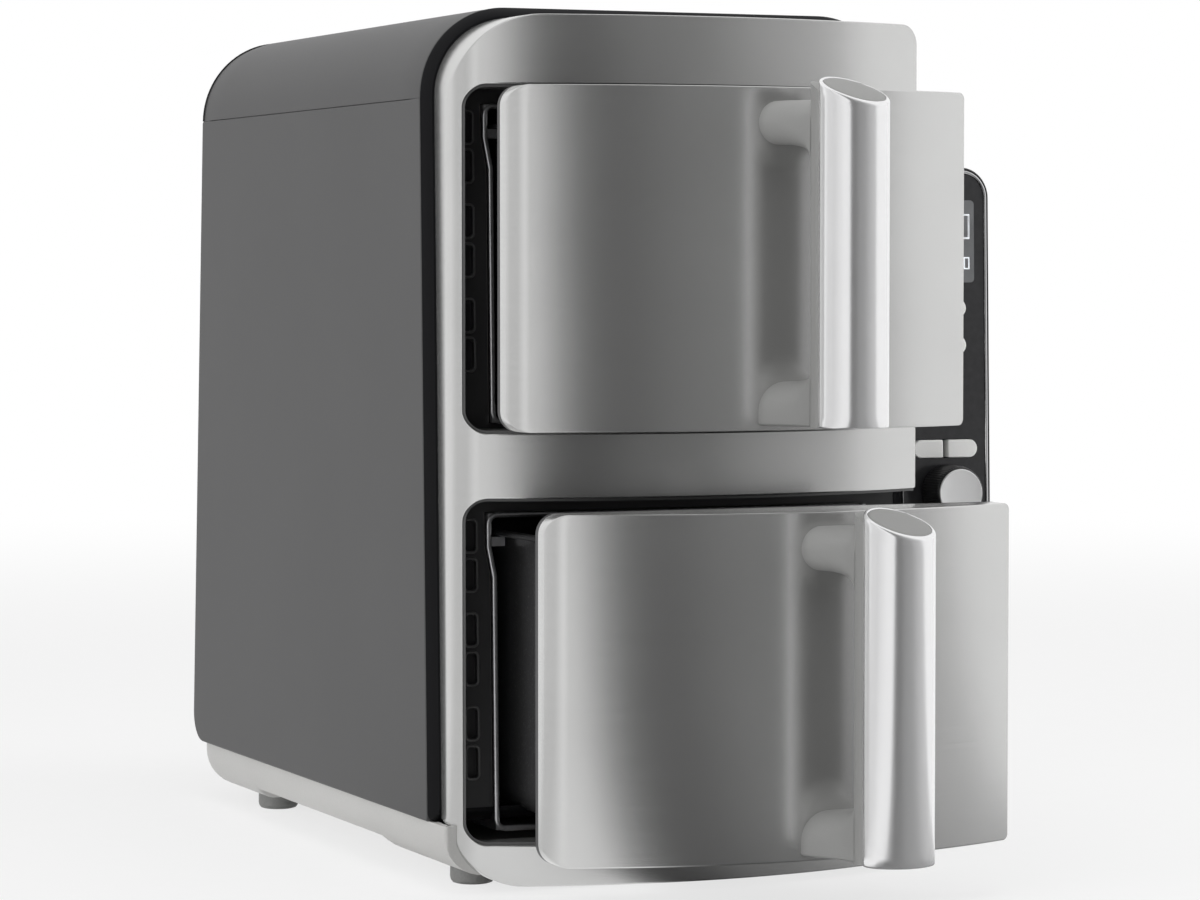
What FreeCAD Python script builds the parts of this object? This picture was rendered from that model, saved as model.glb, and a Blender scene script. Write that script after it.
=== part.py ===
"""Air fryer with two stacked drawers and a control pod on its right side.

Millimetres. X runs to the right of someone facing the front, Y to the back, Z up, with Z = 0 on the worktop.
The drawers stand partly open, and the origin is below the middle of the whole outline in that state.
Inside the functions, Y is counted from a plane just behind the front frame; save() moves it to the origin.
"""
import FreeCAD
import Part
import math
import os

Vector = FreeCAD.Vector

# Case: a folded cover on two leaning ends
OVERALL_WIDTH = 280.0
POD_WIDTH = 47.5
CASE_HEIGHT = 385.0
CASE_TOP_RADIUS = 40.0
PANEL_SHEET = 2.0
PANEL_BOTTOM = 30.0
PANEL_CORNER = 14.0
SEAM_GAP = 0.6
FRONT_AT_FLOOR = 10.0
FRONT_LEAN = 1.36
REAR_AT_FLOOR = 356.5
REAR_LEAN = 3.7

# Front frame and bulkhead
FRAME_INSET = 5.0
FRAME_BOTTOM = 4.0
FRAME_WALL = 3.0
FRAME_LOWER_RADIUS = 28.0
FRAME_END_RADIUS = 9.0
FRAME_CORNER = 16.0
BEVEL = 4.0
BEVEL_LAND = 0.6
BULKHEAD_DEPTH = 10.0
RETURN_WALL = 2.5
OPENING_HEIGHT = 150.0
OPENING_BOTTOM = 22.0
OPENING_CORNER = 10.0
OPENING_SIDE = 4.0
OPENING_TRIM = 1.2
TRIM_SETBACK = 2.0
DRAWER_PITCH = 178.0

# Bowed front
FRAME_SHORT = 5.5
BOW_RADIUS = 262.0
BOW_EDGE = -7.7

# Drawers
UPPER_PULL = 45.0
LOWER_PULL = 87.0
FRONT_GAP = 0.8
DRAWER_SKIN = 2.5
DRAWER_RIM = 9.0
DRAWER_BACK = 3.0
BACK_LIP = 6.0
LIP_WALL = 2.5
DRAWER_LEFT_CORNER = 9.0
DRAWER_RIGHT_CORNER = 3.0
DRAWER_TURN = 12.0
SEAT_GAP = 0.1

# Handle
HANDLE_X = 1.0
HANDLE_WIDTH = 31.0
HANDLE_THICKNESS = 24.0
HANDLE_END = 9.5
HANDLE_STAND = 52.0
HANDLE_HEIGHT = 141.0
HANDLE_PITCH = 25.0
HANDLE_ROLL = 8.6
HANDLE_SHELL = 2.2
HANDLE_SPLIT = 6.0
CAP_MARGIN = 1.5
CAP_DEPTH = 1.5
GRIP_WIDTH = 29.0
GRIP_DEPTH = 9.0
GRIP_ROUND = 4.0
POST_WIDTH = 50.0
POST_HEIGHT = 18.5
POST_SPACING = 119.0

# Basket and crisper plate
BASKET_SIDE = 11.0
BASKET_DEPTH = 250.0
BASKET_BELOW = 10.0
BASKET_WALL = 1.5
BASKET_CORNER = 24.0
BASKET_BEVEL = 9.0
RIM_WIDTH = 6.0
RIM_THICKNESS = 2.0
RIM_BELOW_OPENING = 16.0
PLATE_GAP = 2.0
PLATE_RISE = 12.0
PLATE_THICKNESS = 1.5
PLATE_SLOT = 5.0
PLATE_SLOT_LENGTH = 38.0
PLATE_SLOT_PITCH = 20.0
PLATE_FOOT_WIDTH = 10.0
PLATE_FOOT_NECK = 6.0
PLATE_FOOT_INSET = 16.0

# Cavity and its air drive
CAVITY_SIDE = 17.0
CAVITY_JOG = 2.5
JOG_TOP = 22.5
JOG_HEIGHT = 13.0
CAVITY_SHEET = 1.2
CAVITY_ABOVE = 9.0
CAVITY_BELOW = 5.0
CAVITY_PROUD = 3.0
CAVITY_BACK = 318.0
CAVITY_GAP = 0.3
RUNNER_WIDTH = 8.0
RUNNER_HEIGHT = 4.0
RUNNER_LENGTH = 236.0
RUN_GAP = 0.3
GUARD_SETBACK = 34.0
GUARD_THICKNESS = 1.2
GUARD_SLOTS = 16
GUARD_SLOT_WIDTH = 5.0
FAN_RADIUS = 46.0
FAN_DEPTH = 14.0
FAN_BLADES = 8
FAN_SHEET = 1.5
FAN_HUB = 8.0
FAN_CLEAR = 6.0
SHAFT_DIAMETER = 5.0
SHAFT_CLEARANCE = 0.05
MOTOR_SIZE = 58.0
MOTOR_CORNER = 0.2
MOTOR_LENGTH = 30.0
HEATER_RADIUS = 56.0
HEATER_TUBE = 6.5
HEATER_LEG = 5.0
HEATER_LEG_GAP = 16.0
HEATER_RUNS = 12
HEATER_SIDES = 6

# Rear cover
REAR_HOOD = 25.0
REAR_FLANGE = 8.0
REAR_WALL = 3.0
HOOD_INSET = 20.0
HOOD_BEVEL = 8.0
VENT_ROWS = 8
VENT_WIDTH = 90.0
VENT_HEIGHT = 4.0
VENT_PITCH = 9.0
GLAND_FLANGE = 16.0
GLAND_BUSH = 12.0
GLAND_BORE = 7.5
GLAND_REACH = 7.0
GLAND_FROM_RIGHT = 44.0
GLAND_HEIGHT = 52.0
SCREW_HEAD = 7.0
SCREW_HEAD_HEIGHT = 2.4
SCREW_SHANK = 3.5
SCREW_LENGTH = 7.0
SCREW_INWARD = 4.5
REAR_SCREW_MARGIN = 10.0

# Base and feet
BASE_INSET = 1.5
BASE_FRONT = -2.0
BASE_BOTTOM = 8.0
BASE_RADIUS = 18.0
BASE_REAR_RADIUS = 18.0
BASE_WALL = 3.0
ARCH_HEIGHT = 6.0
ARCH_START = 92.0
ARCH_LENGTH = 172.0
ARCH_ROUND = 5.0
FOOT_DIAMETER = 20.0
FOOT_INSET = 27.0
FOOT_FRONT = 30.0
FOOT_REAR = 298.0

# Control pod
POD_BOTTOM = 67.0
POD_HEIGHT = 250.6
POD_DEPTH = 48.0
POD_SETBACK = 5.0
POD_CORNER = 14.0
POD_BACK_BEVEL = 8.0
POD_WALL = 2.5
POD_BORDER = 1.4
CHROME_WIDTH = 1.4
CHROME_PROUD = 0.6
PANEL_THICKNESS = 3.0
BOARD_DEPTH = 14.0
BOARD_THICKNESS = 1.6
DISPLAY_WIDTH = 32.0
DISPLAY_HEIGHT = 37.8
DISPLAY_BOTTOM = 264.7
DISPLAY_CORNER = 2.0
DISPLAY_THICKNESS = 2.0
DISPLAY_LEDGE = 1.5

# Keys and dial
KEY_TRAVEL = 0.8
KEY_PROUD = 0.9
KEY_GAP = 0.3
KEY_FLANGE = 1.2
KEY_LIP = 1.0
KEY_STEM = 3.0
ROUND_KEY = 8.4
KEY_COLUMN = 14.0
KEY_ROWS = (253.0, 236.0)
PILL_WIDTH = 33.0
PILL_HEIGHT = 8.2
PILL_SPLIT = 0.5
PILL_Z = 188.4
START_WIDTH = 28.0
START_Z = 126.0
POWER_Z = 97.0
DIAL_DIAMETER = 25.0
DIAL_CAP = 22.0
DIAL_LENGTH = 15.0
DIAL_GAP = 0.7
DIAL_SHAFT = 6.0
DIAL_Z = 168.5
CAP_THICKNESS = 1.0
ENCODER_SIZE = 13.0
ENCODER_DEPTH = 7.0

# Left pockets in the bulkhead: distance of each middle below the opening's top, and length
POCKET_WIDTH = 6.0
POCKET_DEPTH = 4.0
POCKET_LENGTH = 14.5
POCKET_PAIR = 17.0
POCKET_STEP = 41.0
POCKET_FIRST = 17.5
POCKET_LAND = 4.0
LATCH_SLOT_WIDTH = 5.0
LATCH_SLOT_HEIGHT = 40.0
SLOT_CORNER = 0.3

# Places worked out from the sizes above
CASE_LEFT = -OVERALL_WIDTH / 2
CASE_RIGHT = OVERALL_WIDTH / 2 - POD_WIDTH
POD_RIGHT = OVERALL_WIDTH / 2
SEAM_Z = CASE_HEIGHT - CASE_TOP_RADIUS
RIM_BACK = BEVEL + BEVEL_LAND
FRAME_LEFT = CASE_LEFT + FRAME_INSET
FRAME_RIGHT = CASE_RIGHT - FRAME_SHORT
FRAME_TOP = CASE_HEIGHT - FRAME_INSET
OPENING_LEFT = FRAME_LEFT + OPENING_SIDE
FRONT_LEFT = OPENING_LEFT + OPENING_TRIM + FRONT_GAP
MIDDLE = (FRONT_LEFT + FRAME_RIGHT) / 2
HALF_FRONT = (FRAME_RIGHT - FRONT_LEFT) / 2
BOW_CENTRE = BOW_EDGE + math.sqrt(BOW_RADIUS ** 2 - HALF_FRONT ** 2)
BOW_APEX = BOW_CENTRE - BOW_RADIUS
CAVITY_WIDTH = 2 * (HALF_FRONT - CAVITY_SIDE)
BASKET_WIDTH = CAVITY_WIDTH - 2 * BASKET_SIDE
BASKET_HEIGHT = OPENING_HEIGHT - RIM_BELOW_OPENING - BASKET_BELOW
SKIN_BACK = BOW_EDGE + DRAWER_RIM
DRAWER_REAR = SKIN_BACK + DRAWER_BACK
HANDLE_Y = BOW_APEX - HANDLE_STAND + HANDLE_THICKNESS / 2
HANDLE_FRONT = HANDLE_Y - HANDLE_THICKNESS / 2
GRIP_BACK = HANDLE_Y + HANDLE_SPLIT + GRIP_DEPTH
FRONT_REACH = HANDLE_FRONT - LOWER_PULL
POD_MIDDLE = (CASE_RIGHT + POD_RIGHT) / 2
POD_TOP = POD_BOTTOM + POD_HEIGHT
STEP = 1000.0
TINY = 1e-6

OPENINGS = {"upper": OPENING_BOTTOM + DRAWER_PITCH, "lower": OPENING_BOTTOM}
PULLS = {"upper": UPPER_PULL, "lower": LOWER_PULL}


def front_line(z):
    """Y of the leaning front plane of the case at height z."""
    return FRONT_AT_FLOOR + z * math.tan(math.radians(FRONT_LEAN))


def rear_line(z):
    """Y of the leaning rear plane of the case at height z."""
    return REAR_AT_FLOOR - z * math.tan(math.radians(REAR_LEAN))


HOOD_BOTTOM = PANEL_BOTTOM + HOOD_INSET
REAR_REACH = rear_line(HOOD_BOTTOM) + REAR_HOOD / math.cos(math.radians(REAR_LEAN))
SHIFT = -(FRONT_REACH + REAR_REACH) / 2


def outline(corners, place):
    """Closed wire through corners (a, b, radius), each rounded by its radius; place puts (a, b) in space."""
    stops = []
    for index, (a, b, radius) in enumerate(corners):
        here = Vector(a, b, 0)
        before = corners[index - 1]
        after = corners[(index + 1) % len(corners)]
        back = (Vector(before[0], before[1], 0) - here).normalize()
        ahead = (Vector(after[0], after[1], 0) - here).normalize()
        half = back.getAngle(ahead) / 2
        reach = radius / math.tan(half)
        middle = (back + ahead).normalize() * (radius / math.sin(half) - radius)
        stops.append((here + back * reach, here + middle, here + ahead * reach))
    edges = []
    for index, (start, middle, end) in enumerate(stops):
        if (end - start).Length > TINY:
            edges.append(Part.Arc(place(start), place(middle), place(end)).toShape())
        following = stops[(index + 1) % len(stops)][0]
        if (following - end).Length > TINY:
            edges.append(Part.LineSegment(place(end), place(following)).toShape())
    return Part.Wire(edges)


def front_wire(corners, y):
    """Wire of a front-view outline of (x, z, radius) corners at depth y."""
    return outline(corners, lambda p: Vector(p.x, y, p.y))


def front_block(corners, y0, y1):
    """Solid of a front-view outline between two depths."""
    return Part.Face(front_wire(corners, y0)).extrude(Vector(0, y1 - y0, 0))


def plan_wire(corners, z):
    """Wire of a plan outline of (x, y, radius) corners at height z."""
    return outline(corners, lambda p: Vector(p.x, p.y, z))


def plan_block(corners, z0, z1):
    """Solid of a plan outline between two heights."""
    return Part.Face(plan_wire(corners, z0)).extrude(Vector(0, 0, z1 - z0))


def side_block(corners, x0, x1):
    """Solid of a side-view outline of (y, z, radius) corners between two X planes."""
    wire = outline(corners, lambda p: Vector(x0, p.x, p.y))
    return Part.Face(wire).extrude(Vector(x1 - x0, 0, 0))


def rectangle(a0, a1, b0, b1, radius=0.0):
    """Corners of a rectangle with one corner radius."""
    return [(a0, b0, radius), (a1, b0, radius), (a1, b1, radius), (a0, b1, radius)]


def box(x0, x1, y0, y1, z0, z1):
    """Plain block between three pairs of planes."""
    return Part.makeBox(x1 - x0, y1 - y0, z1 - z0, Vector(x0, y0, z0))


def rod(diameter, x, z, y0, y1):
    """Cylinder along Y between two depths."""
    return Part.makeCylinder(diameter / 2, y1 - y0, Vector(x, y0, z), Vector(0, 1, 0))


def hex_rod(width, x, z, y0, y1):
    """Six-sided bar along Y between two depths, measured across its flats."""
    reach = width / 2 / math.cos(math.pi / 6)
    angles = [math.pi / 3 * side for side in range(6)]
    return front_block([(x + reach * math.cos(a), z + reach * math.sin(a), 0) for a in angles], y0, y1)


def leaned(shape, angle, foot):
    """The shape turned about X so that its upright front plane y = 0 leans back, and set at foot."""
    turned = shape.copy()
    turned.rotate(Vector(0, 0, 0), Vector(1, 0, 0), -angle)
    turned.translate(Vector(0, foot, 0))
    return turned


def lean_front(shape):
    """A piece built upright, set on the leaning front plane of the case."""
    return leaned(shape, FRONT_LEAN, FRONT_AT_FLOOR)


def lean_rear(shape):
    """A piece built upright, set on the leaning rear plane of the case."""
    return leaned(shape, -REAR_LEAN, REAR_AT_FLOOR)


def behind_front(offset):
    """Half space behind the leaning front plane moved back by offset."""
    return lean_front(box(-STEP, STEP, offset, STEP, -STEP, STEP))


def before_rear(offset):
    """Half space in front of the leaning rear plane moved back by offset."""
    return lean_rear(box(-STEP, STEP, -STEP, offset, -STEP, STEP))


def case_corners(inset, bottom, lower_radius):
    """Front-view outline of the case, drawn in all round by inset."""
    left = CASE_LEFT + inset
    right = CASE_RIGHT - inset
    upper = CASE_TOP_RADIUS - inset
    top = CASE_HEIGHT - inset
    return [(left, bottom, lower_radius), (right, bottom, lower_radius),
            (right, top, upper), (left, top, upper)]


def bow_block(x0, x1, inset, back, z0, z1):
    """Upright block whose front follows the bow, drawn in by inset, and whose back is flat."""
    radius = BOW_RADIUS - inset

    def on_bow(x):
        return Vector(x, BOW_CENTRE - math.sqrt(radius ** 2 - (x - MIDDLE) ** 2), z0)

    arc = Part.Arc(on_bow(x0), Vector(MIDDLE, BOW_CENTRE - radius, z0), on_bow(x1)).toShape()
    corners = [on_bow(x1), Vector(x1, back, z0), Vector(x0, back, z0), on_bow(x0)]
    lines = [Part.LineSegment(a, b).toShape() for a, b in zip(corners, corners[1:])]
    return Part.Face(Part.Wire([arc] + lines)).extrude(Vector(0, 0, z1 - z0))


def fillet_upright(shape, x, radius):
    """Rounds the foremost upright edge of the shape at the plane X = x."""
    found = []
    for edge in shape.Edges:
        ends = [vertex.Point for vertex in edge.Vertexes]
        if len(ends) == 2 and all(abs(p.x - x) < TINY for p in ends):
            if abs(ends[0].y - ends[1].y) < TINY and ends[0].y < 0:
                found.append(edge)
    return shape.makeFillet(radius, found)


def opening_corners(bottom, grow):
    """Front-view outline of a drawer opening, which runs out of the frame's right end."""
    left = OPENING_LEFT - grow
    low = bottom - grow
    top = bottom + OPENING_HEIGHT + grow
    radius = OPENING_CORNER + grow
    right = FRAME_RIGHT + FRAME_END_RADIUS
    return [(left, low, radius), (right, low, 0), (right, top, 0), (left, top, radius)]


def frame_body(inset):
    """Front frame as a full block: the bow in plan, crossed with its rounded front view."""
    back = front_line(CASE_HEIGHT)
    plan = bow_block(FRAME_LEFT + inset, FRAME_RIGHT - inset, inset, back, -STEP, STEP)
    plan = fillet_upright(plan, FRAME_LEFT + inset, FRAME_CORNER - inset)
    upper = CASE_TOP_RADIUS - FRAME_INSET - inset
    lower = FRAME_LOWER_RADIUS - inset
    end = FRAME_END_RADIUS - inset
    left = FRAME_LEFT + inset
    right = FRAME_RIGHT - inset
    low = FRAME_BOTTOM + inset
    top = FRAME_TOP - inset
    front = [(left, low, lower), (right, low, end), (right, top, end), (left, top, upper)]
    return plan.common(front_block(front, -STEP / 2, STEP / 2))


def front_frame():
    """Three bands joined by one stile on the left, open to the right, with a return round each opening."""
    hollow = frame_body(FRAME_WALL)
    frame = frame_body(0)
    for bottom in OPENINGS.values():
        hollow = hollow.cut(front_block(opening_corners(bottom, RETURN_WALL), -STEP / 2, STEP / 2))
    frame = frame.cut(hollow)
    for bottom in OPENINGS.values():
        frame = frame.cut(front_block(opening_corners(bottom, 0), -STEP / 2, STEP / 2))
    base = box(-STEP, STEP, BASE_FRONT, STEP, -STEP, PANEL_BOTTOM)
    return frame.cut(behind_front(0)).cut(base)


def opening_trim(bottom):
    """Thin dark lip that lines the left, top and bottom edges of one opening."""
    lip = front_block(opening_corners(bottom, 0), -STEP / 2, STEP / 2)
    lip = lip.cut(front_block(opening_corners(bottom, -OPENING_TRIM), -STEP / 2, STEP / 2))
    back = front_line(CASE_HEIGHT)
    reach = bow_block(OPENING_LEFT, FRAME_RIGHT, TRIM_SETBACK, back, -STEP, STEP)
    base = box(-STEP, STEP, BASE_FRONT, STEP, -STEP, PANEL_BOTTOM)
    return lip.common(reach).cut(behind_front(0)).cut(base)


def cavity_corners(bottom, grow):
    """Front-view outline of a cavity: wider above the jog, where the basket's rim runs."""
    wide = CAVITY_WIDTH / 2 + grow
    narrow = wide - CAVITY_JOG
    low = bottom + CAVITY_BELOW - grow
    top = bottom + OPENING_HEIGHT - CAVITY_ABOVE + grow
    jog = bottom + OPENING_HEIGHT - JOG_TOP
    right = [(MIDDLE + narrow, low, 0), (MIDDLE + narrow, jog - JOG_HEIGHT, 0), (MIDDLE + wide, jog, 0)]
    left = [(2 * MIDDLE - x, z, radius) for x, z, radius in right]
    return right + [(MIDDLE + wide, top, 0), (MIDDLE - wide, top, 0)] + left[::-1]


def pocket_heights():
    """Middle of each pocket, as a distance below the top of the opening: three pairs."""
    pairs = range(3)
    return [POCKET_FIRST + POCKET_STEP * pair + POCKET_PAIR * half for pair in pairs for half in range(2)]


def front_bulkhead():
    """Black moulding behind the frame: bevelled rim, cavity windows, pockets on the left, slots on the right."""
    low = PANEL_BOTTOM
    rim = front_block(case_corners(0, low, PANEL_CORNER), 0, RIM_BACK)
    front_edges = [edge for edge in rim.Edges if all(abs(v.Y) < TINY for v in edge.Vertexes)]
    rim = rim.makeChamfer(BEVEL, front_edges)
    tongue = case_corners(PANEL_SHEET + SEAT_GAP, low + PANEL_SHEET, PANEL_CORNER - PANEL_SHEET)
    plate = rim.fuse(front_block(tongue, RIM_BACK, BULKHEAD_DEPTH))
    pocket_x = MIDDLE - CAVITY_WIDTH / 2 - CAVITY_SHEET - POCKET_LAND - POCKET_WIDTH / 2
    slot_x = (MIDDLE + CAVITY_WIDTH / 2 + CASE_RIGHT) / 2
    for bottom in OPENINGS.values():
        top = bottom + OPENING_HEIGHT
        window = front_block(cavity_corners(bottom, CAVITY_SHEET + CAVITY_GAP), -STEP / 2, STEP / 2)
        cuts = [lean_back(window)]
        for depth in pocket_heights():
            z = top - depth
            cuts.append(upright_slot(pocket_x, z, POCKET_WIDTH, POCKET_LENGTH, POCKET_DEPTH))
        slot_z = bottom + OPENING_HEIGHT / 2
        cuts.append(upright_slot(slot_x, slot_z, LATCH_SLOT_WIDTH, LATCH_SLOT_HEIGHT, BULKHEAD_DEPTH))
        plate = plate.cut(Part.makeCompound(cuts))
    return lean_front(plate)


def lean_back(shape):
    """A level piece seen from the upright frame of the leaning front plane."""
    moved = shape.copy()
    moved.translate(Vector(0, -FRONT_AT_FLOOR, 0))
    moved.rotate(Vector(0, 0, 0), Vector(1, 0, 0), FRONT_LEAN)
    return moved


def upright_slot(x, z, width, height, depth):
    """Tool for an upright slot with cut corners, sunk by depth from the upright front plane."""
    half = width / 2
    top = height / 2
    cut = width * SLOT_CORNER
    quarter = [(half, top - cut), (half - cut, top)]
    right = [(a, -b) for a, b in quarter[::-1]] + quarter
    left = [(-a, -b) for a, b in right]
    return front_block([(x + a, z + b, 0) for a, b in right + left], -depth, depth)


def side_panel(x0):
    """Flat painted side sheet with leaning ends and rounded lower corners."""
    low = PANEL_BOTTOM
    top = SEAM_Z
    corners = [(front_line(low) + RIM_BACK, low, PANEL_CORNER), (rear_line(low), low, PANEL_CORNER),
               (rear_line(top), top, 0), (front_line(top) + RIM_BACK, top, 0)]
    return side_block(corners, x0, x0 + PANEL_SHEET)


def top_cover():
    """Arched top sheet, down to the seam with the side panels."""
    outer = front_block(case_corners(0, 0, 0), -STEP / 2, STEP / 2)
    inner = front_block(case_corners(PANEL_SHEET, 0, 0), -STEP / 2, STEP / 2)
    above_seam = box(-STEP, STEP, -STEP, STEP, SEAM_Z + SEAM_GAP, STEP)
    return outer.cut(inner).common(above_seam).common(behind_front(RIM_BACK)).common(before_rear(0))


def hood_corners(inset):
    """Front-view outline of the raised part of the rear cover."""
    low = HOOD_BOTTOM + inset
    return case_corners(HOOD_INSET + inset, low, CASE_TOP_RADIUS - HOOD_INSET - inset)


def rear_vents():
    """Tools for the rows of vent slots, one group behind each cavity."""
    tools = []
    for bottom in OPENINGS.values():
        middle = bottom + OPENING_HEIGHT / 2
        for row in range(VENT_ROWS):
            z = middle + (row - (VENT_ROWS - 1) / 2) * VENT_PITCH
            half = VENT_WIDTH / 2
            tools.append(box(MIDDLE - half, MIDDLE + half, REAR_HOOD / 2, REAR_HOOD * 2, z, z + VENT_HEIGHT))
    return Part.makeCompound(tools)


def gland_place():
    """X and Z of the cord gland on the rear cover's rim."""
    return CASE_RIGHT - GLAND_FROM_RIGHT, GLAND_HEIGHT - HOOD_INSET / 2


def rear_screw_places():
    """X and Z of the rear cover's screws, round its rim."""
    left = CASE_LEFT + REAR_SCREW_MARGIN
    right = CASE_RIGHT - REAR_SCREW_MARGIN
    heights = (PANEL_BOTTOM + 2 * REAR_SCREW_MARGIN, SEAM_Z)
    return [(x, z) for x in (left, right) for z in heights]


def rear_cover():
    """Dished back: a rim inside the case edge and a bevelled, vented hood over the fan motors."""
    rim_inset = PANEL_SHEET + SEAT_GAP
    lean = math.radians(REAR_LEAN)
    bottom = (PANEL_BOTTOM + SEAT_GAP + REAR_FLANGE * math.sin(lean)) / math.cos(lean)
    rim = front_block(case_corners(rim_inset, bottom, PANEL_CORNER), -REAR_FLANGE, 0)
    hood = front_block(hood_corners(0), -REAR_FLANGE, REAR_HOOD)
    outer_edges = [edge for edge in hood.Edges if all(abs(v.Y - REAR_HOOD) < TINY for v in edge.Vertexes)]
    cover = rim.fuse(hood.makeChamfer(HOOD_BEVEL, outer_edges))
    lip = front_block(case_corners(rim_inset + REAR_WALL, bottom + REAR_WALL, PANEL_CORNER - REAR_WALL),
                      -REAR_FLANGE, -REAR_WALL)
    depth = REAR_HOOD - REAR_WALL
    hollow = front_block(hood_corners(REAR_WALL), -REAR_FLANGE, depth)
    inner_edges = [edge for edge in hollow.Edges if all(abs(v.Y - depth) < TINY for v in edge.Vertexes)]
    hollow = hollow.makeChamfer(HOOD_BEVEL, inner_edges)
    cover = cover.cut(lip.fuse(hollow)).cut(rear_vents())
    gland_x, gland_z = gland_place()
    holes = [hex_rod(GLAND_BUSH + 2 * SEAT_GAP, gland_x, gland_z, -REAR_FLANGE, SCREW_LENGTH)]
    for x, z in rear_screw_places():
        holes.append(hex_rod(SCREW_SHANK + 2 * SEAT_GAP, x, z, -REAR_FLANGE, SCREW_LENGTH))
    return lean_rear(cover.cut(Part.makeCompound(holes)))


def cord_gland():
    """Bush with a square flange in the rear cover, where a mains lead would leave."""
    x, z = gland_place()
    half = GLAND_FLANGE / 2
    flange = box(x - half, x + half, 0, GLAND_REACH, z - half, z + half)
    bush = flange.fuse(hex_rod(GLAND_BUSH, x, z, -REAR_WALL, 0))
    return lean_rear(bush.cut(rod(GLAND_BORE, x, z, -STEP, STEP)))


def screw(x, z, seat):
    """Hexagon-head screw along Y, its head behind the seat plane."""
    head = hex_rod(SCREW_HEAD, x, z, seat, seat + SCREW_HEAD_HEIGHT)
    return head.fuse(hex_rod(SCREW_SHANK, x, z, seat - SCREW_LENGTH, seat))


def rear_screws():
    """The screws round the rear cover's rim."""
    return lean_rear(Part.makeCompound([screw(x, z, 0) for x, z in rear_screw_places()]))


def base_corners(inset):
    """Front-view outline of the base: a channel with rounded lower edges."""
    left = CASE_LEFT + BASE_INSET + inset
    right = CASE_RIGHT - BASE_INSET - inset
    low = BASE_BOTTOM + inset
    radius = BASE_RADIUS - inset
    return [(left, low, radius), (right, low, radius), (right, PANEL_BOTTOM, 0), (left, PANEL_BOTTOM, 0)]


def base_tray():
    """Pale base: an open tray with rounded lower edges, a shallow arch along each side and room for the drawer."""
    rear = rear_line(PANEL_BOTTOM) - BASE_INSET
    tray = front_block(base_corners(0), BASE_FRONT, rear)
    uprights = [edge for edge in tray.Edges if len(edge.Vertexes) == 2
                and all(abs(v.Y - rear) < TINY for v in edge.Vertexes)
                and abs(edge.Vertexes[0].X - edge.Vertexes[1].X) < TINY]
    tray = tray.makeFillet(BASE_REAR_RADIUS, uprights)
    plan = rectangle(CASE_LEFT + BASE_INSET + BASE_WALL, CASE_RIGHT - BASE_INSET - BASE_WALL,
                     BASE_FRONT + BASE_WALL, rear - BASE_WALL, BASE_REAR_RADIUS - BASE_WALL)
    hollow = front_block(base_corners(BASE_WALL), BASE_FRONT, rear).common(plan_block(plan, 0, PANEL_BOTTOM))
    end = ARCH_START + ARCH_LENGTH
    top = BASE_BOTTOM + ARCH_HEIGHT
    low = BASE_BOTTOM - ARCH_HEIGHT
    slope = 2 * ARCH_HEIGHT
    arch = side_block([(ARCH_START - slope, low, 0), (end + slope, low, 0), (end, top, ARCH_ROUND),
                       (ARCH_START, top, ARCH_ROUND)], -STEP, STEP)
    floor = box(CASE_LEFT + 2 * BASE_RADIUS, CASE_RIGHT - 2 * BASE_RADIUS, -STEP, STEP, -STEP, STEP)
    mouth = box(OPENING_LEFT, CASE_RIGHT - BASE_INSET - BASE_WALL, BASE_FRONT, DRAWER_REAR + FRONT_GAP,
                OPENING_BOTTOM, PANEL_BOTTOM)
    return tray.cut(hollow).cut(arch.cut(floor)).cut(mouth)


def foot_places():
    """X and Y of the four feet."""
    return [(x, y) for x in (CASE_LEFT + FOOT_INSET, CASE_RIGHT - FOOT_INSET) for y in (FOOT_FRONT, FOOT_REAR)]


def rubber_feet():
    """Four round rubber feet under the base."""
    feet = [Part.makeCylinder(FOOT_DIAMETER / 2, BASE_BOTTOM, Vector(x, y, 0)) for x, y in foot_places()]
    return Part.makeCompound(feet)


def cavity_middle(bottom):
    """Height of the air drive's axis in one cavity."""
    return bottom + (OPENING_HEIGHT - CAVITY_ABOVE + CAVITY_BELOW) / 2


def heater_legs(bottom):
    """X of each heater leg and the height where it leaves the lowest run of the tube."""
    z = cavity_middle(bottom) - HEATER_RADIUS
    return [(MIDDLE - HEATER_LEG_GAP / 2, z), (MIDDLE + HEATER_LEG_GAP / 2, z)]


def cavity(bottom):
    """Folded sheet oven box, open to the front, with holes for the fan shaft and the heater legs."""
    outer = front_block(cavity_corners(bottom, CAVITY_SHEET), 0, CAVITY_BACK)
    inner = front_block(cavity_corners(bottom, 0), -STEP / 2, CAVITY_BACK - CAVITY_SHEET)
    shell = outer.cut(inner).common(behind_front(-CAVITY_PROUD))
    hole = SHAFT_DIAMETER + 2 * CAVITY_GAP
    holes = [hex_rod(hole, MIDDLE, cavity_middle(bottom), 0, STEP)]
    for x, z in heater_legs(bottom):
        holes.append(hex_rod(HEATER_LEG + 2 * CAVITY_GAP, x, z, 0, STEP))
    return shell.cut(Part.makeCompound(holes))


def rim_top(bottom):
    """Height of the top of the basket's rim."""
    return bottom + OPENING_HEIGHT - RIM_BELOW_OPENING


def runners(bottom):
    """Two strips on the cavity's upper walls that carry the basket's rim."""
    top = rim_top(bottom) - RIM_THICKNESS - RUN_GAP
    start = front_line(top)
    half = CAVITY_WIDTH / 2
    strips = []
    left = (MIDDLE - half, MIDDLE - half + RUNNER_WIDTH)
    right = (MIDDLE + half - RUNNER_WIDTH, MIDDLE + half)
    for near, far in (left, right):
        strips.append(box(near, far, start, start + RUNNER_LENGTH, top - RUNNER_HEIGHT, top))
    return Part.makeCompound(strips)


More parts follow.
